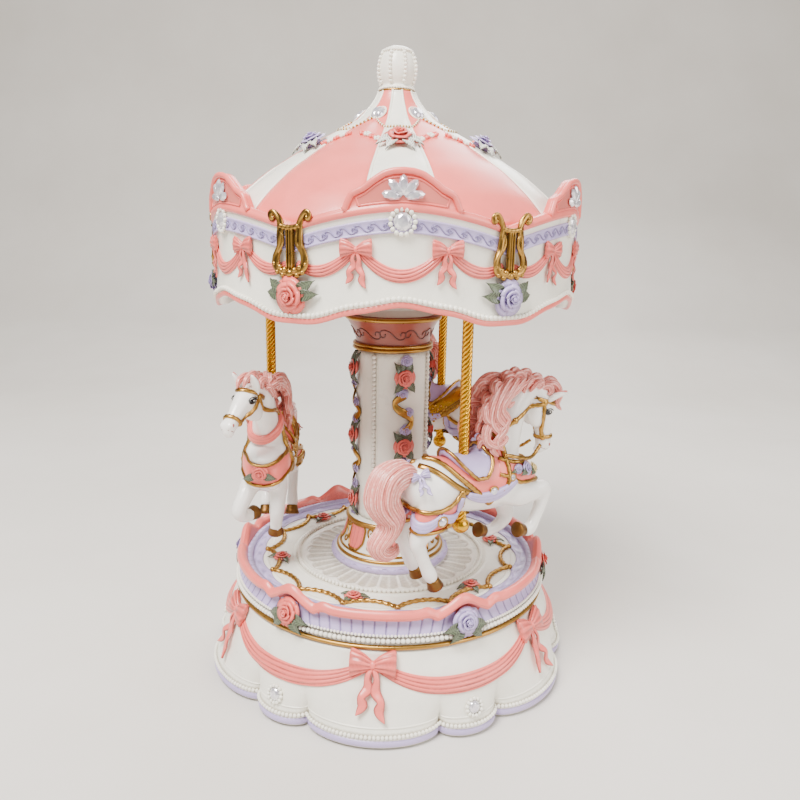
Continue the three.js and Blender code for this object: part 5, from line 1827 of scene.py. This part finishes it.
def dress_ear(horse, side, ears, inner):
    root = np.array([45.6, 3.7 * side, 133.4])
    tip = np.array([56.2, 4.6 * side, 136.8]) if horse.low else np.array([54.6, 5.6 * side, 136.8])
    t = np.linspace(0, 1, 9)
    path = root + (tip - root) * t[:, None]
    path[:, 2] += 1.2 * np.sin(np.pi * t)
    wide = 2.7 * np.sin(np.pi * (0.2 + 0.78 * t)) ** 0.8
    ears.add(*sweep(turned_head(path, horse.pose), wide, wide * 0.55, sides=14, hint=(0, 0.2, 1)))
    groove = turned_head(path[1:-1] + np.array([0.4, 0.3 * side, 1.0]), horse.pose)
    inner.add(*sweep(groove, wide[1:-1] * 0.5, wide[1:-1] * 0.3, sides=10, hint=(0, 0.2, 1)))


def dress_head(horse):
    """Ears, eyes, nostrils and mouth."""
    ears, dark, glint, inner = Build(), Build(), Build(), Build()
    for side in (-1, 1):
        dress_ear(horse, side, ears, inner)
        paint_eye(horse, side, dark, glint)
        nostril = facing(*horse.flank(48.4, 113.4, side, -0.1))
        inner.add(*lump((0, 0, 0), (0.55, 0.8, 0.3), 6, 10), 0.2, nostril)
        mouth = [horse.flank(s, z, side, 0.02)[0]
                 for s, z in ((48.2, 110.9), (46.6, 111.3), (44.8, 112), (43.4, 112.4))]
        inner.add(*sweep(mouth, 0.16, sides=6, crown=0.0))
    horse.finish(ears, "ears", HORSE_WHITE)
    horse.finish(dark, "eyes", EYE_BLACK)
    horse.finish(glint, "eye_glints", WHITE)
    horse.finish(inner, "face_tints", DEEP_PINK)


HOOVES = [([-19.2, 6.8, 64.4], [-17.2, 6.8, 60.2]), ([-19.2, -6.8, 64.4], [-17.2, -6.8, 60.2])]
HIGH_HOOVES = [([30, -6.9, 75.8], [25.8, -6.9, 77]), ([18.8, 6.9, 72.7], [14.8, 6.9, 74.2])]
LOW_HOOVES = [([26.8, -7.6, 77], [22.9, -6.0, 77]), ([25.8, 3.8, 71.4], [24.2, 3.6, 67.4])]


def dress_hooves(horse):
    """A flared hoof at the end of each leg, from its root to its sole."""
    hooves = Build()
    t = np.array([0, 0.06, 0.3, 0.62, 0.92, 1.0])
    wide = np.array([2.5, 2.9, 3.0, 3.4, 3.75, 3.4])
    for root, tip in HOOVES + (LOW_HOOVES if horse.low else HIGH_HOOVES):
        root, tip = np.array(root, float), np.array(tip, float)
        path = root + (tip - root) * t[:, None]
        hooves.add(*sweep(path, wide * 0.94, wide, sides=20, hint=(0, 1, 0), crown=0.8))
    horse.finish(hooves, "hooves", HOOF)


# ---------------------------------------------------------------- horses: tack
def head_loop(horse, centre, axis, lift=0.35, count=28, reach=8.0):
    """Closed loop round the head square to an axis in the profile plane."""
    axis = unit(np.array([axis[0], 0, axis[1]]))
    across = np.array([0, 1.0, 0])
    up = np.cross(axis, across)
    centre3 = np.array([centre[0], 0, centre[1]])
    path, normals = [], []
    for a in turns(count):
        ray = up * math.cos(a) + across * math.sin(a)
        start, centre_t = turned_head([centre3 + ray * 8, centre3], horse.pose)
        direction = unit(start - centre_t)
        p, normal = horse.hit(centre_t + direction * reach, -direction, lift)
        path.append(p)
        normals.append(normal)
    return np.array(path), np.array(normals)


def on_profile(horse, points, side, lift=0.35, steps=5):
    """A smooth line through points of the profile, laid on one side of the head and neck."""
    line = curve_through([[s, z] for s, z in points], steps)
    hits = [horse.flank(s, z, side, lift) for s, z in line]
    return np.array([h[0] for h in hits]), np.array([h[1] for h in hits])


ROPE_TWIST = 3.4
BRIDLE_STRAPS = (((43.6, 133), (43.2, 127), (43.8, 121), (44.6, 117)),
                 ((43.6, 132.4), (38, 131.8), (32, 130.2), (26, 127.6), (20.6, 125), (16.4, 123)))
REIN = ((43, 4.2, 114), (38, 6.6, 110.6), (30, 9.4, 110.4), (22, 10.8, 112), (14, 10.2, 114))


def dress_bridle(horse):
    """Noseband, browband, cheek and neck straps with studs, and a free rein where the head is high."""
    gold = Build()
    for centre, axis in (((46.4, 117), (0, 1)), ((43.6, 134), (0.35, 1))):
        path, normals = head_loop(horse, centre, axis)
        gold.add(*drape(path, normals, 0.9, 0.6, closed=True, twist=ROPE_TWIST))
    for side in (-1, 1):
        for points in BRIDLE_STRAPS:
            path, normals = on_profile(horse, points, side)
            gold.add(*drape(path, normals, 0.95, 0.6, twist=ROPE_TWIST))
        for s, z in ((43.6, 133), (44.8, 117), (24, 126.6)):
            stud = facing(*horse.flank(s, z, side, 0.35))
            gold.add(*lump((0, 0, 0), (1.5, 1.5, 0.85), 6, 12), matrix=stud)
        if not horse.low:
            rein = curve_through(turned_head([[s, y * side, z] for s, y, z in REIN], horse.pose), 6)
            up = np.tile([0, float(side), 0.3], (len(rein), 1))
            gold.add(*drape(rein, up, 0.85, 0.65, twist=ROPE_TWIST))
    horse.finish(gold, "bridle", GILT, "gilt")


def edge_cord(build, grid, normals, size, sides, lift=0.15):
    """Twisted cord along the named sides of a cloth."""
    lines = {"top": (grid[0], normals[0]), "bottom": (grid[-1], normals[-1]),
             "left": (grid[:, 0], normals[:, 0]), "right": (grid[:, -1], normals[:, -1])}
    for edge in sides:
        path, normal = lines[edge]
        build.add(*drape(path + normal * lift, normal, size, size * 0.8, twist=2.4))


SIDES, ENDS = ("left", "right"), ("top", "bottom")


def lay_cloth(horse, gold, name, material, ray, size, cord, edges, thick=0.6):
    """Cloth laid by ray, size being its rows and columns, with a gilt cord along the named edges."""
    part, grid, normals = horse.patch(ray, *size, thick)
    edge_cord(gold, grid, normals, cord, edges)
    horse.finish(Build().add(*part), name, material)


def set_gem(gems, gold, p, normal, size):
    """Round stone in a ring, facing out from the skin."""
    at = facing(p + normal * 0.3, normal, size)
    gems.merge(ROUND_GEM, at)
    count = 24
    gold.add(*drape(ring_on(at, count, 1.12), np.tile(normal, (count, 1)), 0.35, 0.35, closed=True, sides=8))


def dress_cloth(horse, style, gold):
    """Saddle cloth that narrows to a point on each flank, with gilt borders."""
    reach = style["cloth_reach"]

    def ray(u, v):
        theta = reach * (2 * u - 1)
        k = abs(theta) / reach
        back = -20 + 27 * k ** style["back_power"]
        bulge = 2.5 * math.sin(math.pi * min(1, k * 1.2))
        front = style["cloth_front"] + bulge - 8 * max(0.0, k - 0.72) / 0.28
        return horse.girth(back + (max(back + 0.6, front) - back) * v, theta, 0.55)
    lay_cloth(horse, gold, "cloth", style["cloth"], ray, (57, 15), 1.15, SIDES, 0.5)


def dress_seat(horse, style, gold):
    """Padded seat with a raised front and back."""
    reach = 66

    def ray(u, v):
        theta = reach * (2 * u - 1)
        k = abs(theta) / reach
        back, front = -11 + 11 * k ** 1.6, 10.4 - 5.4 * k ** 2.4
        rise = 1.3 + 2.6 * (2 * v - 1) ** 4 * (1 - k) ** 0.7 + 0.8 * (1 - (2 * v - 1) ** 2) * (1 - k)
        return horse.girth(back + (front - back) * v, theta, rise)
    lay_cloth(horse, gold, "saddle", style["seat"], ray, (31, 13), 0.85, SIDES + ENDS, 1.6)


def fold_band(build, rows, wide, high):
    """Folded cloth through pairs of point and normal."""
    build.add(*drape([r[0] for r in rows], [r[1] for r in rows], wide, high, folds=3))


def dress_saddle(horse, style):
    """Pointed cloth with a gilt border, a smaller seat over it, and draped folds below."""
    gold, gems, folds = Build(), Build(), Build()
    dress_cloth(horse, style, gold)
    dress_seat(horse, style, gold)
    hang = np.linspace(0, 1, 22)
    for side in (-1, 1):
        p, normal = horse.girth(8, side * 98, 0.9)
        set_gem(gems, gold, p, normal, 1.9)
        rows = [horse.girth(-5 + 25 * k, side * (96 + 20 * math.sin(math.pi * k) ** 0.8 - 12 * k), 0.8)
                for k in hang]
        fold_band(folds, rows, 1.3 + 1.5 * np.sin(np.pi * hang), 1.1)
        if style["studs"]:
            studs = [horse.girth(s, side * theta, 1.1)[0] for theta in range(72, 124, 9)
                     for s in np.arange(-8 + 0.16 * (theta - 72), 12, 3.2)]
            beads(gold, studs, 0.85)
    horse.finish(folds, "swags", style["folds"])
    return gold, gems


def dress_breast(horse, style, gold, gems):
    """Band across the breast with a scalloped foot and flowers."""
    reach = 118

    def ray(u, v):
        phi = reach * (2 * v - 1)
        k = abs(phi) / reach
        top = 109.5 + 2.5 * k ** 2 - style["drop"] * (1 - k)
        foot = top - 10.5 + 4 * k + 0.8 * abs(math.sin(math.radians(phi * 3)))
        return horse.chest(phi, top + (foot - top) * u, 0.6)
    lay_cloth(horse, gold, "breast_band", style["band"], ray, (9, 41), 0.9, ENDS)
    flowers, leaves = {}, Build()
    for phi, z, size, colour in style["flowers"]:
        roses = flowers.setdefault(colour, Build())
        at = facing(*horse.chest(phi, z, 0.9))
        plant_rose(roses, leaves, at, size, size * 1.5, (200, -20), size * 0.6)
    for colour, roses in flowers.items():
        horse.finish(roses, f"breast_roses_{colour}", FLOWER_PAINT[colour])
    horse.finish(leaves, "breast_leaves", DARK_LEAF)
    for phi in (-84, 84):
        p, normal = horse.chest(phi, 103.6, 0.9)
        set_gem(gems, gold, p, normal, 1.4)
    fringe = []
    for phi in np.linspace(-90, 90, 33):
        k = abs(phi) / reach
        fringe.append(horse.chest(phi, 99.4 - style["drop"] * (1 - k) + 5.4 * k, 0.7)[0])
    beads(gold, fringe, 0.6)


def dress_scarf(horse):
    """Folded cloth tied round the neck, lower at the throat."""
    rows = []
    for a in turns(36):
        z = 119 - 5.0 * math.cos(a) - 2.0 * math.sin(a)
        ray = np.array([math.cos(a), -math.sin(a), 0])
        rows.append(horse.hit(np.array([22, 0, z]) + 30 * ray, -ray, 0.9))
    points, normals = [r[0] for r in rows], [r[1] for r in rows]
    scarf = Build().add(*drape(points, normals, 2.3, 1.3, folds=3, closed=True))
    horse.finish(scarf, "scarf", PINK)


BREECHING_REACH = 88


def breeching_head(k):
    """Height of the breeching's upper edge; k is 0 under the tail."""
    return 97 + 10 * k * k - 3.0 * math.sin(math.pi * k)


def dress_rump(horse, style, gold, gems):
    """Breeching round the haunches, a rump strap and a bow at the root of the tail."""
    folds, bow = Build(), Build()

    def ray(u, v):
        phi = 72 * (2 * v - 1)
        k = abs(phi) / BREECHING_REACH
        head = breeching_head(k)
        foot = head - 9.6 + 2.2 * k + 1.3 * abs(math.cos(math.pi * k))
        return horse.rump(phi, head + (foot - head) * u, 0.6)
    lay_cloth(horse, gold, "breeching", style["band"], ray, (8, 45), 1.0, ENDS + SIDES)
    for side in (-1, 1):
        for start, end in ((6, 37), (37, 69)):
            t = np.linspace(0, 1, 18)
            phis = start + (end - start) * t
            rows = [horse.rump(side * phi, breeching_head(phi / BREECHING_REACH) - 1.8
                               - 4.2 * math.sin(math.pi * k), 1.1) for phi, k in zip(phis, t)]
            fold_band(folds, rows, 1.0 + 1.4 * np.sin(np.pi * t), 1.0)
        p, normal = horse.rump(side * 37, 92, 1.5)
        set_gem(gems, gold, p, normal, 2.0)
        strap = [horse.girth(-24 + 20 * k, side * (10 + 84 * k ** 0.8), 0.5) for k in np.linspace(0, 1, 22)]
        gold.add(*drape([r[0] for r in strap], [r[1] for r in strap], 1.25, 0.7, folds=2))
        p, normal = horse.girth(-25.5, side * 34, 0.4)
        bow.merge(BOW, facing(p, normal, 3.9, roll=20 * side))
    horse.finish(folds, "rump_swags", style["folds"])
    horse.finish(bow, "tail_bow", style["bow"])


POLE_STRANDS = 6
POLE_CORE = 1.5
STRAND_PITCH = 12.0


def build_strand(build, path, radius, centre):
    """One strand of a rope; the side that faces the axis of the rope is darkened with painted shade."""
    points, faces, _ = sweep(path, radius, sides=8, hint=(1, 0, 0))
    reach = np.hypot(points[:, 0] - centre[0], points[:, 1] - centre[1])
    build.add(points, faces, np.clip((reach - 1.35) / 0.7, 0, 1))


def build_pole(index):
    """Rope-twist pole of six strands round a core, and the ball under the belly."""
    axis = around(HORSE_AZIMUTH[index - 1], POLE_CIRCLE, 0)
    body = f"horse_{index}_set"
    low, high = foot_of(f"pole_{index}"), top_of(f"pole_{index}")
    strands = Build()
    z = low + 0.4 + (high - low - 0.8) * np.linspace(0, 1, 320)
    for k in range(POLE_STRANDS):
        a = TAU * k / POLE_STRANDS + TAU * (z - low) / STRAND_PITCH
        path = np.stack([POLE_CORE * np.cos(a), POLE_CORE * np.sin(a), z], 1) + axis
        plait = 1 + 0.16 * np.abs(np.sin(np.pi * (z - low) / 1.5 + k))
        build_strand(strands, path, 0.76 * plait, axis)
    core = np.column_stack([np.zeros((12, 2)), np.linspace(low, high, 12)]) + axis
    # The core between the strands is painted fully in shade.
    strands.add(*sweep(core, POLE_CORE, sides=12, hint=(1, 0, 0), crown=0.0))
    pole = strands.piece(f"pole_{index}_rope", body, GOLD, "bright_brass")
    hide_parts(f"pole_{index}")
    centre = axis + UP * 0.5 * (top_of(f"ball_{index}") + foot_of(f"ball_{index}"))
    ball = Build().add(*lump(centre, (3.7, 3.7, 3.6), 20, 32))
    polished = ball.piece(f"ball_{index}_polished", body, GOLD, "bright_brass")
    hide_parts(f"ball_{index}")


# pose is the head's nod and turn in degrees and the share of its height that is left, drop lowers the
# middle of the breast band, and a flower is [angle round the chest, height, size, colour].
STYLES = [
    {"pose": (0, 12, 1.0), "low": False, "scarf": False, "studs": False, "drop": 2.0,
     "cloth_reach": 128, "cloth_front": 14.5, "back_power": 1.0,
     "cloth": PINK, "seat": LILAC, "folds": LILAC, "band": PINK, "bow": LILAC,
     "flowers": [(44, 105.8, 2.9, "lilac"), (-44, 105.8, 2.9, "lilac"), (24, 104.2, 2.6, "yellow"),
                 (-24, 104.2, 2.6, "yellow"), (62, 106.4, 2.0, "lilac")]},
    {"pose": (48, 22, 0.87), "low": True, "scarf": True, "studs": True, "drop": 5.0,
     "cloth_reach": 126, "cloth_front": 19.0, "back_power": 2.4,
     "cloth": SADDLE_GOLD, "seat": PINK, "folds": GILT, "band": PINK, "bow": PINK,
     "flowers": [(4, 100.6, 3.9, "pink")]},
    {"pose": (0, 10, 1.0), "low": False, "scarf": False, "studs": True, "drop": 3.0,
     "cloth_reach": 126, "cloth_front": 16.0, "back_power": 2.4,
     "cloth": SADDLE_GOLD, "seat": LILAC, "folds": LILAC, "band": LILAC, "bow": LILAC,
     "flowers": [(24, 103, 2.7, "pink"), (-24, 103, 2.7, "pink")]},
]


def build_horse(index):
    style = STYLES[index - 1]
    horse = Horse(index, style["pose"], style["low"])
    dress_mane(horse, HAIR)
    dress_tail(horse, HAIR)
    dress_head(horse)
    dress_hooves(horse)
    dress_bridle(horse)
    gold, gems = dress_saddle(horse, style)
    dress_breast(horse, style, gold, gems)
    dress_rump(horse, style, gold, gems)
    if style["scarf"]:
        dress_scarf(horse)
    horse.finish(gold, "trim", GILT, "gilt")
    horse.finish(gems, "gems", GEM, "gilt", smooth=False)
    build_pole(index)


build_base()
build_deck()
build_pedestal()
build_column()
build_capital()
build_valance()
for number, corner in enumerate(sixths(CANOPY_TURN + 30)):
    build_lyre(number + 1, corner)
build_roof()
build_finial()
for number in range(3):
    build_horse(number + 1)


# ---------------------------------------------------------------- CAD nodes that stay
KEPT = {
    BLACK: ["bottom_plate"],
    RUBBER: ["foot_pad_1", "foot_pad_2", "foot_pad_3"],
    BRASS: ["lower_bush", "upper_bush", "canopy_hub", "winding_key", "spring_barrel", "pin_cylinder",
            "cylinder_wheel", "comb_base"],
    BLUED: ["mainspring"],
    NYLON: ["governor_fan", "lift_cam", "follower_1", "follower_2", "follower_3"],
    DEEP_PINK: ["canopy_plate"],
}


def dress_kept_nodes():
    named = {node: material for material, nodes in KEPT.items() for node in nodes}
    for name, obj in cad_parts.items():
        if obj.hide_render:
            continue
        obj.data.materials.clear()
        obj.data.materials.append(named.get(name, STEEL))


dress_kept_nodes()
